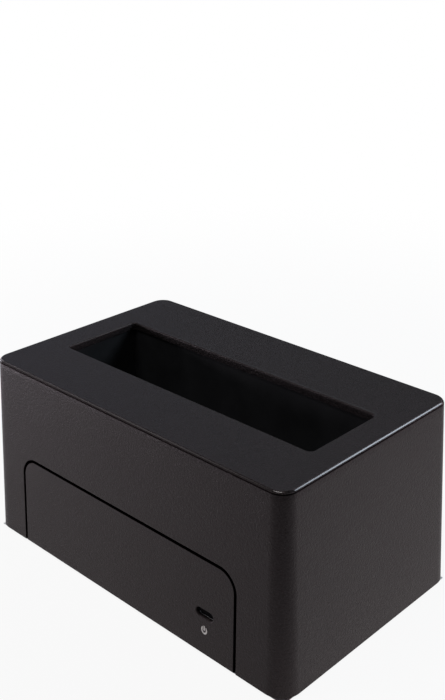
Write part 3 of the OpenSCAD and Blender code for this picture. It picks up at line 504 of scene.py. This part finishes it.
def panel_loops(case, front):
    """Outline of the panel closed along its lower edge, and the direction of each point from the window."""
    def outline(inset, bottom):
        x, z, _, _ = arch_path(front, case.foot, inset, bottom, upright=17, top=81)
        run = np.linspace(x[-1], x[0], 73)[1:-1]
        return np.concatenate([x, run]), np.concatenate([z, bottom + 0 * run])
    x, z = outline(front.seam, case.foot)
    angles = np.arctan2(z - front.window_z, x - front.window_x)

    def pill(more):
        r = pill_at(angles, front.window_length + 2 * more, front.window_height + 2 * more)
        return front.window_x + r * np.cos(angles), front.window_z + r * np.sin(angles)
    return outline, pill


def panel_parts(case, front):
    """Front panel: loops that pass from the window to the arch across the face, over the rounded edge, down
    the side, round the lip behind the case and back to the window. A loop between two others is a share of
    each."""
    outline, pill = panel_loops(case, front)
    away, down = rounding(front.round)
    window_round = 0.22 * MM
    rim, sink = rounding(window_round)
    flat = np.array([0.0, 0.1, 0.3, 0.5, 0.7, 0.9, 1.0])
    inner = pill(window_round + 0.2 * MM)
    inset = front.round + 0.3 * MM
    outer = outline(front.seam + inset, case.foot + inset)
    behind = case.wall + front.lip_gap
    back = behind + front.lip_thick
    foot = case.boss_foot
    # Painted shade: the window's inner wall darkens towards its back
    rows, depths, polish_and_painted_shade = [pill(0.0)], [case.wall], [-0.4]
    rows += [pill(o) for o in rim[::-1]]
    depths += list(sink[::-1])
    rows += [tuple(p * (1 - s) + q * s for p, q in zip(inner, outer)) for s in flat]
    depths += [0.0] * len(flat)
    polish_and_painted_shade += [0.0] * (len(rim) + len(flat))
    rows += [outline(front.seam + o, case.foot + o) for o in away]
    depths += list(down)
    rows += [outline(front.seam, case.foot), outline(-front.lip, foot), outline(-front.lip, foot)]
    depths += [case.wall, behind, back]
    rows += [outline(front.seam + front.lip_hold, foot + front.lip_hold)] * 2
    depths += [back, case.wall]
    # Painted shade: a half-dark row on the rounding beside the seam, then the rest of the rounding, the seam
    # side, the lip and the back nearly black
    polish_and_painted_shade += [0.0, -0.5] + [-1.0] * (len(rows) - len(polish_and_painted_shade) - 2)
    x = np.stack([r[0] for r in rows])
    z = np.stack([r[1] for r in rows])
    points = front_face(case, x, z, np.array(depths)[:, None])
    plate = sheet(points, True, True)
    y = -(case.depth / 2 - case.wall - case.boss / 2 - 0.4 * MM)
    centres = np.array([[front.arch_x - front.boss_x, y], [front.arch_x + front.boss_x, y]])
    bosses = tubes(centres, case.boss_bore / 2, case.boss / 2, foot, foot + front.boss_rise)
    return [plate, bosses], [np.repeat(polish_and_painted_shade, x.shape[1]), np.zeros(len(bosses[0]))]


def lens_parts(case, front):
    """Indicator lens: pills of one middle, shrunk to a point over a round crown at the front and widened to a
    rim behind the panel. The crown's height follows the quarter of an ellipse."""
    angles = np.linspace(0, 2 * np.pi, 96, endpoint=False)
    play = 0.08 * MM
    length, height = front.window_length - play, front.window_height - play
    q = np.sin(np.linspace(0, QUARTER, 13))
    share = np.r_[q, 1.0, 1.0, 1.0, 0.0]
    more = np.r_[0 * q, 0.0, front.lens_rim, front.lens_rim, 0.0]
    seat, back = case.wall + 0.05 * MM, case.wall + front.lens_rim
    depth = np.r_[front.lens_sink - front.lens_crown * np.sqrt(1 - q ** 2), seat, seat, back, back]
    r = np.stack([pill_at(angles, length + 2 * m, height + 2 * m) * s for m, s in zip(more, share)])
    x = front.window_x + r * np.cos(angles)
    z = front.window_z + r * np.sin(angles)
    y = -(case.depth / 2 + spread(case, front.window_z)) + depth[:, None] + 0 * x
    return [sheet(np.stack([x, y, z], -1), False, True)]


def feet_parts():
    """Feet: a disc with a rounded lower edge, turned round each foot's axis."""
    _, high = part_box("rubber_feet")
    r, soft = 5 * MM, 0.5 * MM
    q = np.linspace(0, QUARTER, 6)
    radius = np.r_[0.0, r - soft + soft * np.sin(q), r, 0.0]
    z = np.r_[0.0, soft * (1 - np.cos(q)), high[2], high[2]]
    a = np.linspace(0, 2 * np.pi, 64, endpoint=False)
    disc = np.stack([radius[:, None] * np.cos(a), radius[:, None] * np.sin(a), z[:, None] + 0 * a], -1)
    x, y = high[0] - r, high[1] - r
    return [sheet(disc + np.array([i * x, j * y, 0.0]), False, True) for i in (-1, 1) for j in (-1, 1)]


def rocker_parts(rear):
    """Rocker: the outline of its side, an arc round the axle cut off below and hollowed above, carried across
    its width and drawn in towards each end by a quarter round. The axle is a turned rod through it."""
    r, rise, root = rear.rocker_radius, rear.rocker_rise, rear.rocker_root
    top = math.sqrt(r * r - rise * rise)
    side = math.asin(rise / r)
    base = math.asin(root / r)
    span = np.linspace(-1, 1, 33)
    dish = rise - rear.rocker_hollow + rear.rocker_dish
    face_z = span * top
    face_y = np.minimum(dish - np.sqrt(rear.rocker_dish ** 2 - face_z ** 2), rise)
    a = np.linspace(side, -base, 17)
    flank_z, flank_y = r * np.cos(a), r * np.sin(a)
    under = np.linspace(flank_z[-1], -flank_z[-1], 9)[1:-1]
    z = np.concatenate([face_z[:-1], flank_z, under, -flank_z[::-1][:-1]])
    y = np.concatenate([face_y[:-1], flank_y, 0 * under - root, flank_y[::-1][:-1]])
    soft = 0.35 * MM
    q = np.linspace(0, QUARTER, 6)
    half = rear.rocker_width / 2
    x = np.r_[-half, -half + soft * (1 - np.cos(q)), half - soft * (1 - np.cos(q[::-1])), half]
    drawn = np.r_[1.0, soft * (1 - np.sin(q)), soft * (1 - np.sin(q[::-1])), 1.0]
    mid_y = (rise - root) / 2
    reach = np.hypot(z, y - mid_y)
    share = 1 - np.minimum(drawn[:, None] / reach, 1.0)
    share[[0, -1]] = 0.0
    body = turned(rear, x[:, None] + 0 * share, mid_y + (y - mid_y) * share, z * share)
    t = np.linspace(0, 2 * np.pi, 32, endpoint=False)[None, :]
    end, rod, bevel = rear.axle_length / 2, rear.axle / 2, 0.15 * MM
    ax = np.array([-end, -end, -end + bevel, end - bevel, end, end])[:, None]
    ar = np.array([0.0, rod - bevel, rod, rod, rod - bevel, 0.0])[:, None]
    axle = turned(rear, ax + 0 * t, ar * np.cos(t), ar * np.sin(t))
    return [sheet(body, False, True), sheet(axle, False, True)]


def turned(rear, x, y, z):
    """Points about the rocker axis, tilted by its angle at rest and moved to its place."""
    c, s = math.cos(rear.rocker_tilt), math.sin(rear.rocker_tilt)
    return np.stack([rear.switch_x + x, rear.switch_y + y * c - z * s, rear.switch_z + y * s + z * c], -1)


# Finishes


class Field:
    """A value that varies over a surface. Python arithmetic on it adds Math nodes to the material."""

    def __init__(self, tree, socket):
        self.tree, self.socket = tree, socket

    def node(self, kind, settings=None, out=0, **values):
        """Adds a node of a type, sets its settings first, then its sockets by name or number."""
        made = self.tree.nodes.new(kind)
        for key, value in (settings or {}).items():
            setattr(made, key, value)
        for key, value in values.items():
            socket = made.inputs[int(key[1:])] if key[0] == "_" else made.inputs[key.replace("_", " ")]
            if isinstance(value, Field):
                self.tree.links.new(value.socket, socket)
            else:
                socket.default_value = value
        return Field(self.tree, made.outputs[out])

    def math(self, operation, a, b=0.0):
        return self.node("ShaderNodeMath", {"operation": operation}, _0=a, _1=b)

    def __add__(self, other):
        return self.math("ADD", self, other)

    def __sub__(self, other):
        return self.math("SUBTRACT", self, other)

    def __rsub__(self, other):
        return self.math("SUBTRACT", other, self)

    def __mul__(self, other):
        return self.math("MULTIPLY", self, other)

    def __pow__(self, other):
        return self.math("POWER", self, other)

    def __abs__(self):
        return self.math("ABSOLUTE", self)

    __radd__ = __add__
    __rmul__ = __mul__

    def sine(self):
        return self.math("SINE", self)

    def least(self, other):
        return self.math("MINIMUM", self, other)

    def most(self, other):
        return self.math("MAXIMUM", self, other)

    def below(self, limit, soft):
        """One where the value is under the limit, fading to nothing over the soft width."""
        return self.node("ShaderNodeMapRange", {"interpolation_type": "SMOOTHSTEP"}, Value=self,
                         From_Min=limit - soft, From_Max=limit + soft, To_Min=1.0, To_Max=0.0)

    def between(self, low, high, to_low=0.0, to_high=1.0):
        """The value as it goes from low to high, turned into one that goes from to_low to to_high."""
        return self.node("ShaderNodeMapRange", {"clamp": True}, Value=self, From_Min=low, From_Max=high,
                         To_Min=to_low, To_Max=to_high)

    def axes(self):
        """The three parts of a vector."""
        split = self.node("ShaderNodeSeparateXYZ", Vector=self)
        return tuple(Field(self.tree, out) for out in split.socket.node.outputs)

    def blend(self, first, second):
        """Colour that passes from the first to the second as this value goes from nothing to one."""
        return self.node("ShaderNodeMix", {"data_type": "RGBA"}, 2, _0=self, _6=first, _7=second)


class Finish:
    """A material with one Principled shader whose constant sockets are set when it is made."""

    def __init__(self, name, **constants):
        self.material = bpy.data.materials.new(name)
        self.material.use_nodes = True
        tree = self.material.node_tree
        self.shader = next(n for n in tree.nodes if n.type == "BSDF_PRINCIPLED")
        for key, value in constants.items():
            self.shader.inputs[key.replace("_", " ")].default_value = value
        start = tree.nodes.new("ShaderNodeTexCoord")
        self.place = Field(tree, start.outputs["Object"])

    def noise(self, scale, detail=2.0, roughness=0.5, place=None):
        return self.place.node("ShaderNodeTexNoise", Vector=place or self.place, Scale=scale, Detail=detail,
                               Roughness=roughness)

    def cells(self, scale):
        return self.place.node("ShaderNodeTexVoronoi", Vector=self.place, Scale=scale)

    def stretched(self, *scale):
        return self.place.node("ShaderNodeMapping", {"vector_type": "POINT"}, Vector=self.place, Scale=scale)

    def attribute(self, name):
        return self.place.node("ShaderNodeAttribute", {"attribute_name": name}, 2)

    def feed(self, socket, field):
        field.tree.links.new(field.socket, self.shader.inputs[socket])

    def bump(self, height, distance, strength=1.0):
        bent = self.place.node("ShaderNodeBump", Strength=strength, Distance=distance, Height=height)
        self.feed("Normal", bent)


def rgba(colour, gain=1.0):
    """Colour with full cover, made lighter or darker by the gain."""
    return tuple(min(c * gain, 1.0) for c in colour) + (1.0,)


def moulded(name, colours, polished_and_shaded=False, sign=None, grain=1.0):
    """Spark-textured moulding: two sizes of grain dent the surface, lighten its peaks and scatter its gloss.
    Where the polish value is positive the grain fades and a clear gloss lies over a darker colour. Where
    it is negative, beside the seams and under the edge, it is painted shade: the surface is dull, nearly
    black and metallic, so that it reflects almost nothing."""
    f = Finish(name, Specular_IOR_Level=0.30, Specular_Tint=(1.0, 0.76, 0.76, 1.0), Coat_Roughness=0.13)
    fine = f.noise(3400.0, 2.0, 0.6)
    coarse = f.noise(1500.0, 3.0, 0.65)
    patch = f.noise(38.0, 3.0, 0.55)
    speck = f.cells(1300.0).below(0.16, 0.05)
    texture = fine * 0.35 + coarse * 0.65
    tone = texture.between(0.36, 0.64) * 0.75 + patch.between(0.3, 0.7) * 0.1 + speck * 0.15
    paint = tone.blend(rgba(colours.shell, 0.2), rgba(colours.shell, 2.0))
    rough = texture.between(0.3, 0.7, 0.36, 0.68) + patch.between(0.3, 0.7, -0.02, 0.02)
    dents = texture + speck * 0.25
    if polished_and_shaded:
        polish_and_painted_shade = f.attribute("polish_and_painted_shade")
        # Negative polish is painted shade: a near-black colour, rougher and fully metallic so that it
        # reflects almost nothing
        gloss, shade = polish_and_painted_shade.most(0.0), (0.0 - polish_and_painted_shade).most(0.0)
        paint = shade.blend(gloss.blend(paint, rgba(colours.shell, 0.5)), rgba(colours.shell, 0.05))
        rough = rough - gloss * 0.2 + shade * 0.5
        dents = dents * (1 - gloss)
        f.feed("Coat Weight", gloss * patch.between(0.25, 0.6, 0.85, 1.0))
        f.feed("Metallic", shade)
    if sign is not None:
        x, _, z = f.place.axes()
        narrow, soft = 1.12, 0.05 * MM
        radius, line = sign.sign_radius, sign.sign_line
        bar_middle, bar_half, gap_half = 0.62 * radius, 0.72 * radius, 2.4 * line
        x, z = (x - sign.sign_x) * narrow, z - sign.sign_z
        ring = abs((x * x + z * z) ** 0.5 - radius).below(line, soft)
        gap = abs(x).below(gap_half, 0.04 * MM) * (0.0 - z).below(0.0, soft)
        bar = abs(x).below(line, soft) * abs(z - bar_middle).below(bar_half, soft)
        ink = (ring * (1 - gap)).most(bar) * fine.between(0.25, 0.5, 0.92, 1.0)
        paint = ink.blend(paint, rgba(colours.sign))
    f.feed("Base Color", paint)
    f.feed("Roughness", rough)
    f.bump(dents, 0.30 * MM * grain, 0.9)
    return f.material


def seam_shade(name, colours):
    """Inside of the seams: painted deep shade, the shell's colour darkened nearly to black, with no gloss."""
    f = Finish(name, Specular_IOR_Level=0.0, Roughness=1.0)
    f.feed("Base Color", f.noise(850.0).blend(rgba(colours.shell, 0.02), rgba(colours.shell, 0.08)))
    return f.material


def smooth_plastic(name, colour, low, high, coat=0.0):
    """Smooth moulding: faint flow marks in its colour and gloss, and a very fine ripple."""
    f = Finish(name, Coat_Weight=coat, Coat_Roughness=0.12)
    flow = f.noise(90.0, 4.0, 0.6)
    fine = f.noise(2200.0, 1.0)
    f.feed("Base Color", flow.between(0.3, 0.7).blend(rgba(colour, 0.8), rgba(colour, 1.25)))
    f.feed("Roughness", (flow * 0.6 + fine * 0.4).between(0.3, 0.7, low, high))
    f.bump(fine, 0.01 * MM, 0.5)
    return f.material


def marked_rocker(name, colour, rear):
    """Satin rocker with the usual line and ring printed at its two ends."""
    f = Finish(name, Coat_Weight=0.15, Coat_Roughness=0.2)
    flow = f.noise(160.0, 4.0, 0.6)
    fine = f.noise(2600.0, 1.0)
    x, y, z = f.place.axes()
    x, z = x - rear.switch_x, z - rear.switch_z
    face, apart, soft = rear.switch_y + 1.6 * MM, 3.2 * MM, 0.05 * MM
    outside = (face - y).below(0.0, 0.1 * MM)
    line = abs(x).below(0.16 * MM, soft) * abs(z - apart).below(0.9 * MM, soft)
    low = z + apart
    ring = abs((x * x + low * low) ** 0.5 - 0.75 * MM).below(0.15 * MM, soft)
    ink = line.most(ring) * outside * flow.between(0.2, 0.5, 0.7, 1.0)
    paint = flow.between(0.3, 0.7).blend(rgba(colour, 0.8), rgba(colour, 1.3))
    f.feed("Base Color", ink.blend(paint, rgba((0.6, 0.6, 0.6))))
    f.feed("Roughness", (flow * 0.5 + fine * 0.5).between(0.3, 0.7, 0.28, 0.42))
    f.bump(fine, 0.012 * MM, 0.5)
    return f.material


def tinted_lens(name, colours, front):
    """Dark tinted lens: a glossy face with the faintest haze, with a painted highlight along its thin lower
    edge and a painted glint at the left end."""
    f = Finish(name, IOR=1.49, Specular_IOR_Level=0.006)
    haze = f.noise(600.0, 2.0)
    x, _, z = f.place.axes()
    edge, end, soft = 0.36 * front.window_height, 0.405 * front.window_length, 0.08 * MM
    x, z = x - front.window_x + end, z - front.window_z + edge
    # Painted highlight along the lower edge, and a painted glint at the left end, more than twice as pale
    thin = z.below(0.0, soft)
    point = ((x * x + z * z) ** 0.5).below(0.36 * MM, soft)
    body = haze.blend(rgba(colours.lens, 0.7), rgba(colours.lens, 1.4))
    paint = point.blend(thin.blend(body, rgba(colours.lens_painted_highlight)), rgba(colours.lens_painted_highlight, 2.3))
    f.feed("Base Color", paint)
    f.feed("Roughness", haze.between(0.3, 0.7, 0.06, 0.12))
    return f.material


def rubbery(name, colour):
    """Dull rubber: mottled colour, scuffs and a soft pebble."""
    f = Finish(name, Specular_IOR_Level=0.25)
    pebble = f.noise(1600.0, 2.0)
    scuff = f.noise(240.0, 4.0, 0.65)
    mottle = (pebble * 0.4 + scuff * 0.6).between(0.35, 0.65)
    f.feed("Base Color", mottle.blend(rgba(colour, 0.7), rgba(colour, 1.7)))
    f.feed("Roughness", scuff.between(0.3, 0.7, 0.72, 0.9))
    f.bump(pebble, 0.04 * MM, 0.7)
    return f.material


# Stretch of the drawn lines of upright metal pieces along x, y and z
UPRIGHT = (1.0, 1.0, 0.2)


def plated(name, colour, along, low, high):
    """Plated metal: fine drawn lines along one axis and faint tarnish change its gloss and colour."""
    f = Finish(name, Metallic=1.0)
    lines = f.noise(260.0, 4.0, 0.6, f.stretched(*along))
    stain = f.noise(170.0, 3.0)
    f.feed("Base Color", stain.between(0.3, 0.7).blend(rgba(colour, 0.8), rgba(colour, 1.06)))
    f.feed("Roughness", (lines * 0.6 + stain * 0.4).between(0.3, 0.7, low, high))
    f.bump(lines, 0.006 * MM, 0.6)
    return f.material


def solder_mask(name, colour):
    """Circuit board: lacquer over rows of copper tracks, which show as paler bands, with a fine weave."""
    f = Finish(name, Coat_Weight=0.35, Coat_Roughness=0.2)
    x, y, _ = f.place.axes()
    wander = f.noise(70.0, 1.0)
    pitch, thread = 900.0, 4200.0
    tracks = (y * pitch + wander * 9.0).sine().between(0.55, 0.7)
    lanes = f.noise(120.0, 0.0, 0.5, f.stretched(0.15, 1.0, 1.0)).between(0.47, 0.53)
    weave = (x * thread).sine() * (y * thread).sine()
    f.feed("Base Color", (tracks * lanes * 0.8 + weave * 0.05).blend(rgba(colour), rgba(colour, 1.8)))
    f.feed("Roughness", lanes.between(0.0, 1.0, 0.34, 0.42))
    f.bump(tracks * lanes, 0.03 * MM, 0.6)
    return f.material


def ceramic_parts(name, colour):
    """Small fired components: tan bodies of slightly different shades."""
    f = Finish(name)
    shade = f.noise(230.0, 0.0)
    fine = f.noise(3000.0, 2.0)
    f.feed("Base Color", shade.between(0.35, 0.65).blend(rgba(colour, 0.45), rgba(colour, 1.35)))
    f.feed("Roughness", fine.between(0.3, 0.7, 0.45, 0.65))
    f.bump(fine, 0.02 * MM, 0.5)
    return f.material


def dress(material, *nodes):
    """Gives a CAD node that stays in view its finish."""
    for node in nodes:
        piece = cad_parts[node]
        piece.data.materials.clear()
        piece.data.materials.append(material)


# Operators


class DOCK_OT_upper_case(bpy.types.Operator):
    """Builds the upper case with its slot, arch and rear recess"""

    bl_idname = "dock.upper_case"
    bl_label = "Upper case"

    def execute(self, context):
        s = context.scene
        parts, polish_and_painted_shade = case_parts(s.dock_case, s.dock_front, s.dock_rear)
        finishes = [moulded("case_moulding", s.dock_colours, True), seam_shade("case_seam_shade", s.dock_colours)]
        skin("upper_case", parts, "dock", finishes, polish_and_painted_shade=polish_and_painted_shade)
        return {"FINISHED"}


class DOCK_OT_front_panel(bpy.types.Operator):
    """Builds the arched front panel with its window, lip and printed power sign"""

    bl_idname = "dock.front_panel"
    bl_label = "Front panel"

    def execute(self, context):
        s = context.scene
        parts, polish_and_painted_shade = panel_parts(s.dock_case, s.dock_front)
        finish = moulded("panel_moulding", s.dock_colours, polished_and_shaded=True, sign=s.dock_front)
        finishes = [finish, seam_shade("panel_seam_shade", s.dock_colours)]
        skin("front_panel", parts, "dock", finishes, polish_and_painted_shade=polish_and_painted_shade)
        return {"FINISHED"}


class DOCK_OT_indicator(bpy.types.Operator):
    """Builds the crowned indicator lens and finishes the lamp behind it"""

    bl_idname = "dock.indicator"
    bl_label = "Indicator"

    def execute(self, context):
        s = context.scene
        finish = tinted_lens("lens_tint", s.dock_colours, s.dock_front)
        skin("indicator_lens", lens_parts(s.dock_case, s.dock_front), "dock", [finish], 40.0)
        dress(smooth_plastic("lamp_resin", s.dock_colours.lamp, 0.1, 0.2), "status_led")
        return {"FINISHED"}


class DOCK_OT_base(bpy.types.Operator):
    """Builds the rubber feet and finishes the bottom cover and the screws"""

    bl_idname = "dock.base"
    bl_label = "Base and feet"

    def execute(self, context):
        c = context.scene.dock_colours
        finish = rubbery("foot_rubber", c.rubber)
        skin("rubber_feet", feet_parts(), "dock", [finish], 40.0)
        dress(moulded("base_moulding", c, grain=1.3), "lower_case")
        zinc = plated("screw_zinc", c.steel, UPRIGHT, 0.28, 0.45)
        dress(zinc, "base_screws", "guide_screws", "board_screws")
        return {"FINISHED"}


class DOCK_OT_bay(bpy.types.Operator):
    """Finishes the drive guide and the drive socket at its foot"""

    bl_idname = "dock.bay"
    bl_label = "Drive bay"

    def execute(self, context):
        c = context.scene.dock_colours
        dress(smooth_plastic("guide_moulding", c.guide, 0.42, 0.56), "drive_guide")
        dress(smooth_plastic("socket_moulding", c.chip, 0.34, 0.46), "sata_socket", "jack_body")
        gold = plated("contact_gold", c.gold, UPRIGHT, 0.2, 0.34)
        dress(gold, "sata_contacts", "usb_contacts", "jack_pin")
        return {"FINISHED"}


class DOCK_OT_rear_sockets(bpy.types.Operator):
    """Builds the rocker and finishes the rear sockets and the switch"""

    bl_idname = "dock.rear_sockets"
    bl_label = "Rear sockets and switch"

    def execute(self, context):
        s = context.scene
        c = s.dock_colours
        finish = marked_rocker("rocker_satin", c.chip, s.dock_rear)
        skin("switch_rocker", rocker_parts(s.dock_rear), "rocker", [finish], 40.0)
        dress(smooth_plastic("switch_moulding", c.chip, 0.3, 0.42), "switch_housing")
        dress(plated("shell_nickel", c.nickel, (1.0, 0.15, 1.0), 0.16, 0.3), "usb_shell")
        dress(smooth_plastic("insert_moulding", c.insert, 0.36, 0.5), "usb_insert")
        tin = plated("terminal_tin", c.steel, UPRIGHT, 0.3, 0.46)
        dress(tin, "jack_terminals", "switch_terminals", "led_leads")
        return {"FINISHED"}


class DOCK_OT_electronics(bpy.types.Operator):
    """Finishes the circuit board and the components on it"""

    bl_idname = "dock.electronics"
    bl_label = "Electronics"

    def execute(self, context):
        c = context.scene.dock_colours
        dress(solder_mask("board_mask", c.board), "main_board")
        dress(smooth_plastic("chip_moulding", c.chip, 0.5, 0.64), "bridge_chip", "support_chips")
        dress(plated("crystal_case", c.steel, (1.0, 1.0, 0.3), 0.2, 0.32), "crystal")
        dress(smooth_plastic("coil_ferrite", c.ferrite, 0.55, 0.7), "power_inductors")
        dress(plated("can_aluminium", c.can, (1.0, 1.0, 0.1), 0.24, 0.38), "smoothing_capacitors")
        dress(ceramic_parts("part_ceramic", c.ceramic), "chip_components")
        return {"FINISHED"}


class DOCK_OT_stage(bpy.types.Operator):
    """Sets the floor, the studio lights, the pale surroundings and the camera"""

    bl_idname = "dock.stage"
    bl_label = "Stage"

    def execute(self, context):
        scene = context.scene
        scene.view_settings.view_transform = "Standard"
        set_floor(scene.dock_studio)
        set_surroundings(scene)
        set_lights()
        set_camera(scene, scene.dock_studio)
        return {"FINISHED"}


# Stage


def seen(field):
    """One for rays that come straight from the camera, and one for rays off or through a glossy piece."""
    path = field.tree.nodes.new("ShaderNodeLightPath")
    camera, glossy, through = (Field(field.tree, path.outputs[n]) for n in
                               ("Is Camera Ray", "Is Glossy Ray", "Is Transmission Ray"))
    return camera, glossy.most(through)


# How far the dark footprint on the floor stays inside the dock's outline
SHADOW_IN = 1.25 * MM
# Share of its own light and shadow that the floor near the dock keeps for the camera
TRACE = 0.08
# How white reflections see the floor round the dock, the strip at the foot of its right wall, and the room
FLOOR_GLOW, STRIP_GLOW, ROOM_GLOW = 0.64, 0.68, 0.06
# Reach of the shadow's trace and of the glow on the floor, each with its soft width
NEAR, FAR = (0.30, 0.15), (0.27, 0.13)
# Start and half width of the dim part ahead, each with its soft width
AHEAD, ASLANT = (0.080, 0.075), (0.100, 0.030)
# Width of the strip, its soft inner edge, and its end towards the camera with a soft width
STRIP_WIDTH, STRIP_SOFT, STRIP_END = 0.075, 0.004, (0.09, 0.03)


def set_floor(studio):
    """Wide flat floor, cut into a grid. The camera sees it white with a trace of the dock's shadow near the
    dock. Reflections see it bright round the dock, brightest at the foot of its right wall, and dim straight
    ahead, where the camera stands."""
    t = np.linspace(-1, 1, 17) * studio.floor
    x, y = np.meshgrid(t, t)
    points, quads = sheet(np.stack([x, y, 0 * x], -1))
    mesh = bpy.data.meshes.new("floor")
    mesh.from_pydata(points.tolist(), [], quads.tolist())
    material = bpy.data.materials.new("floor_paper")
    material.use_nodes = True
    tree = material.node_tree
    tree.nodes.clear()
    place = Field(tree, tree.nodes.new("ShaderNodeTexCoord").outputs["Object"])
    camera, glossy = seen(place)
    x, y, _ = place.axes()
    half_x, half_y, _ = CAD_BOX[1]
    s, c = math.sin(studio.azimuth), math.cos(studio.azimuth)
    reach = (x * x + y * y) ** 0.5
    near = reach.below(*NEAR)
    ahead = x * s - y * c
    aslant = abs(x * c + y * s)
    dim = (1 - ahead.below(*AHEAD)) * aslant.below(*ASLANT)
    bright = (1 - dim) * reach.below(*FAR)
    under = abs(x).below(half_x - SHADOW_IN, 0.1 * MM) * abs(y).below(half_y - SHADOW_IN, 0.1 * MM)
    aside = x - half_x
    beside = aside.between(0.0, STRIP_WIDTH, STRIP_GLOW, 0.0) * (0.0 - aside).below(0.0, STRIP_SOFT)
    paper = place.node("ShaderNodeBsdfDiffuse", Color=(0.82, 0.82, 0.82, 1.0))
    white = place.node("ShaderNodeEmission", Color=(1.0, 1.0, 1.0, 1.0), Strength=1.0)
    seen_white = camera * (1 - near * TRACE) * (1 - under)
    glow = bright * FLOOR_GLOW + beside * ahead.below(*STRIP_END)
    whitened = seen_white + glossy * glow.least(1.0)
    mixed = place.node("ShaderNodeMixShader", _0=whitened, _1=paper, _2=white)
    end = tree.nodes.new("ShaderNodeOutputMaterial")
    tree.links.new(mixed.socket, end.inputs["Surface"])
    mesh.materials.append(material)
    floor = bpy.data.objects.new("floor", mesh)
    bpy.context.scene.collection.objects.link(floor)


def set_surroundings(scene):
    """Surroundings that are white to the camera, a faint grey in reflections, and give no light."""
    world = bpy.data.worlds.new("surroundings")
    world.use_nodes = True
    scene.world = world
    tree = world.node_tree
    light = next(n for n in tree.nodes if n.type == "BACKGROUND")
    light.inputs["Color"].default_value = (1.0, 1.0, 1.0, 1.0)
    camera, glossy = seen(Field(tree, light.outputs[0]))
    strength = camera + glossy * (1 - camera) * ROOM_GLOW
    tree.links.new(strength.socket, light.inputs["Strength"])


LIGHTS = [
    # name, place, aim, width, height, power in watts, colour
    ("left_soft", (-0.767, 0.279, 0.410), (0.0, 0.0, 0.03), 0.50, 0.50, 0.41, (0.67, 0.75, 1.0)),
    ("left_near", (-0.375, -0.137, 0.065), (-0.03, -0.03, 0.03), 0.20, 0.10, 0.74, (0.94, 0.90, 1.0)),
    ("left_high", (-0.612, -0.333, 0.640), (0.0, -0.03, 0.06), 0.40, 0.30, 0.28, (1.0, 0.97, 0.98)),
    ("right_soft", (0.420, 0.700, 0.130), (0.065, 0.0, 0.03), 0.40, 0.20, 1.00, (1.0, 0.76, 0.78)),
    ("rear_soft", (-0.409, 0.488, 0.666), (0.0, 0.0, 0.03), 0.50, 0.50, 0.71, (0.79, 0.92, 1.0)),
    ("rear_window", (0.413, 0.640, 0.569), (0.060, 0.0, 0.061), 0.46, 0.36, 3.60, (0.76, 0.88, 1.0)),
    ("top_spot", (-0.070, -0.290, 1.000), (-0.130, -0.040, 0.061), 0.56, 0.24, 2.60, (1.0, 1.0, 1.0)),
]


def set_lights():
    """Soft rectangular lamps, each turned from its place to the point that it lights."""
    for name, place, aim, width, height, power, colour in LIGHTS:
        lamp = bpy.data.lights.new(name, "AREA")
        lamp.shape, lamp.size, lamp.size_y = "RECTANGLE", width, height
        lamp.energy, lamp.color = power, colour
        item = bpy.data.objects.new(name, lamp)
        item.location = place
        item.rotation_euler = (Vector(aim) - Vector(place)).to_track_quat("-Z", "Y").to_euler()
        item.visible_camera = False
        bpy.context.scene.collection.objects.link(item)


def set_camera(scene, studio):
    """Camera turned by azimuth, elevation and roll, then moved back and aside from the middle of the case."""
    a, e, r = studio.azimuth, studio.elevation, studio.roll
    ahead = Vector((-math.sin(a) * math.cos(e), math.cos(a) * math.cos(e), -math.sin(e)))
    level = ahead.cross(Vector((0, 0, 1))).normalized()
    above = level.cross(ahead)
    right = level * math.cos(r) + above * math.sin(r)
    up = above * math.cos(r) - level * math.sin(r)
    place = Vector((0, 0, studio.aim)) - ahead * studio.distance - right * studio.pan - up * studio.rise
    data = bpy.data.cameras.new("camera")
    data.lens, data.sensor_width, data.shift_y = studio.lens, 36.0, studio.shift
    data.clip_start = 0.01
    camera = bpy.data.objects.new("camera", data)
    turned_to = Matrix((right, up, -ahead)).transposed()
    camera.matrix_world = Matrix.Translation(place) @ turned_to.to_4x4()
    scene.collection.objects.link(camera)
    scene.camera = camera


# Panel and registration


class DOCK_PT_tools(bpy.types.Panel):
    """Lists the steps that build the dock"""

    bl_idname = "DOCK_PT_tools"
    bl_label = "Drive dock"
    bl_space_type = "VIEW_3D"
    bl_region_type = "UI"
    bl_category = "Dock"

    def draw(self, context):
        for step in STEPS:
            self.layout.operator(step.bl_idname)


GROUPS = [("dock_case", CaseSizes), ("dock_front", FrontSizes), ("dock_rear", RearSizes),
          ("dock_colours", DockColours), ("dock_studio", StudioSettings)]
STEPS = [DOCK_OT_upper_case, DOCK_OT_front_panel, DOCK_OT_indicator, DOCK_OT_base, DOCK_OT_bay,
         DOCK_OT_rear_sockets, DOCK_OT_electronics, DOCK_OT_stage]


def register():
    for name, group in GROUPS:
        bpy.utils.register_class(group)
        setattr(bpy.types.Scene, name, PointerProperty(type=group))
    for item in STEPS + [DOCK_PT_tools]:
        bpy.utils.register_class(item)


def unregister():
    for item in reversed(STEPS + [DOCK_PT_tools]):
        bpy.utils.unregister_class(item)
    for name, group in reversed(GROUPS):
        delattr(bpy.types.Scene, name)
        bpy.utils.unregister_class(group)


def main():
    """Registers the add-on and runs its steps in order."""
    register()
    for step in STEPS:
        family, name = step.bl_idname.split(".")
        getattr(getattr(bpy.ops, family), name)()
    bpy.context.view_layer.update()


if __name__ == "__main__":
    main()
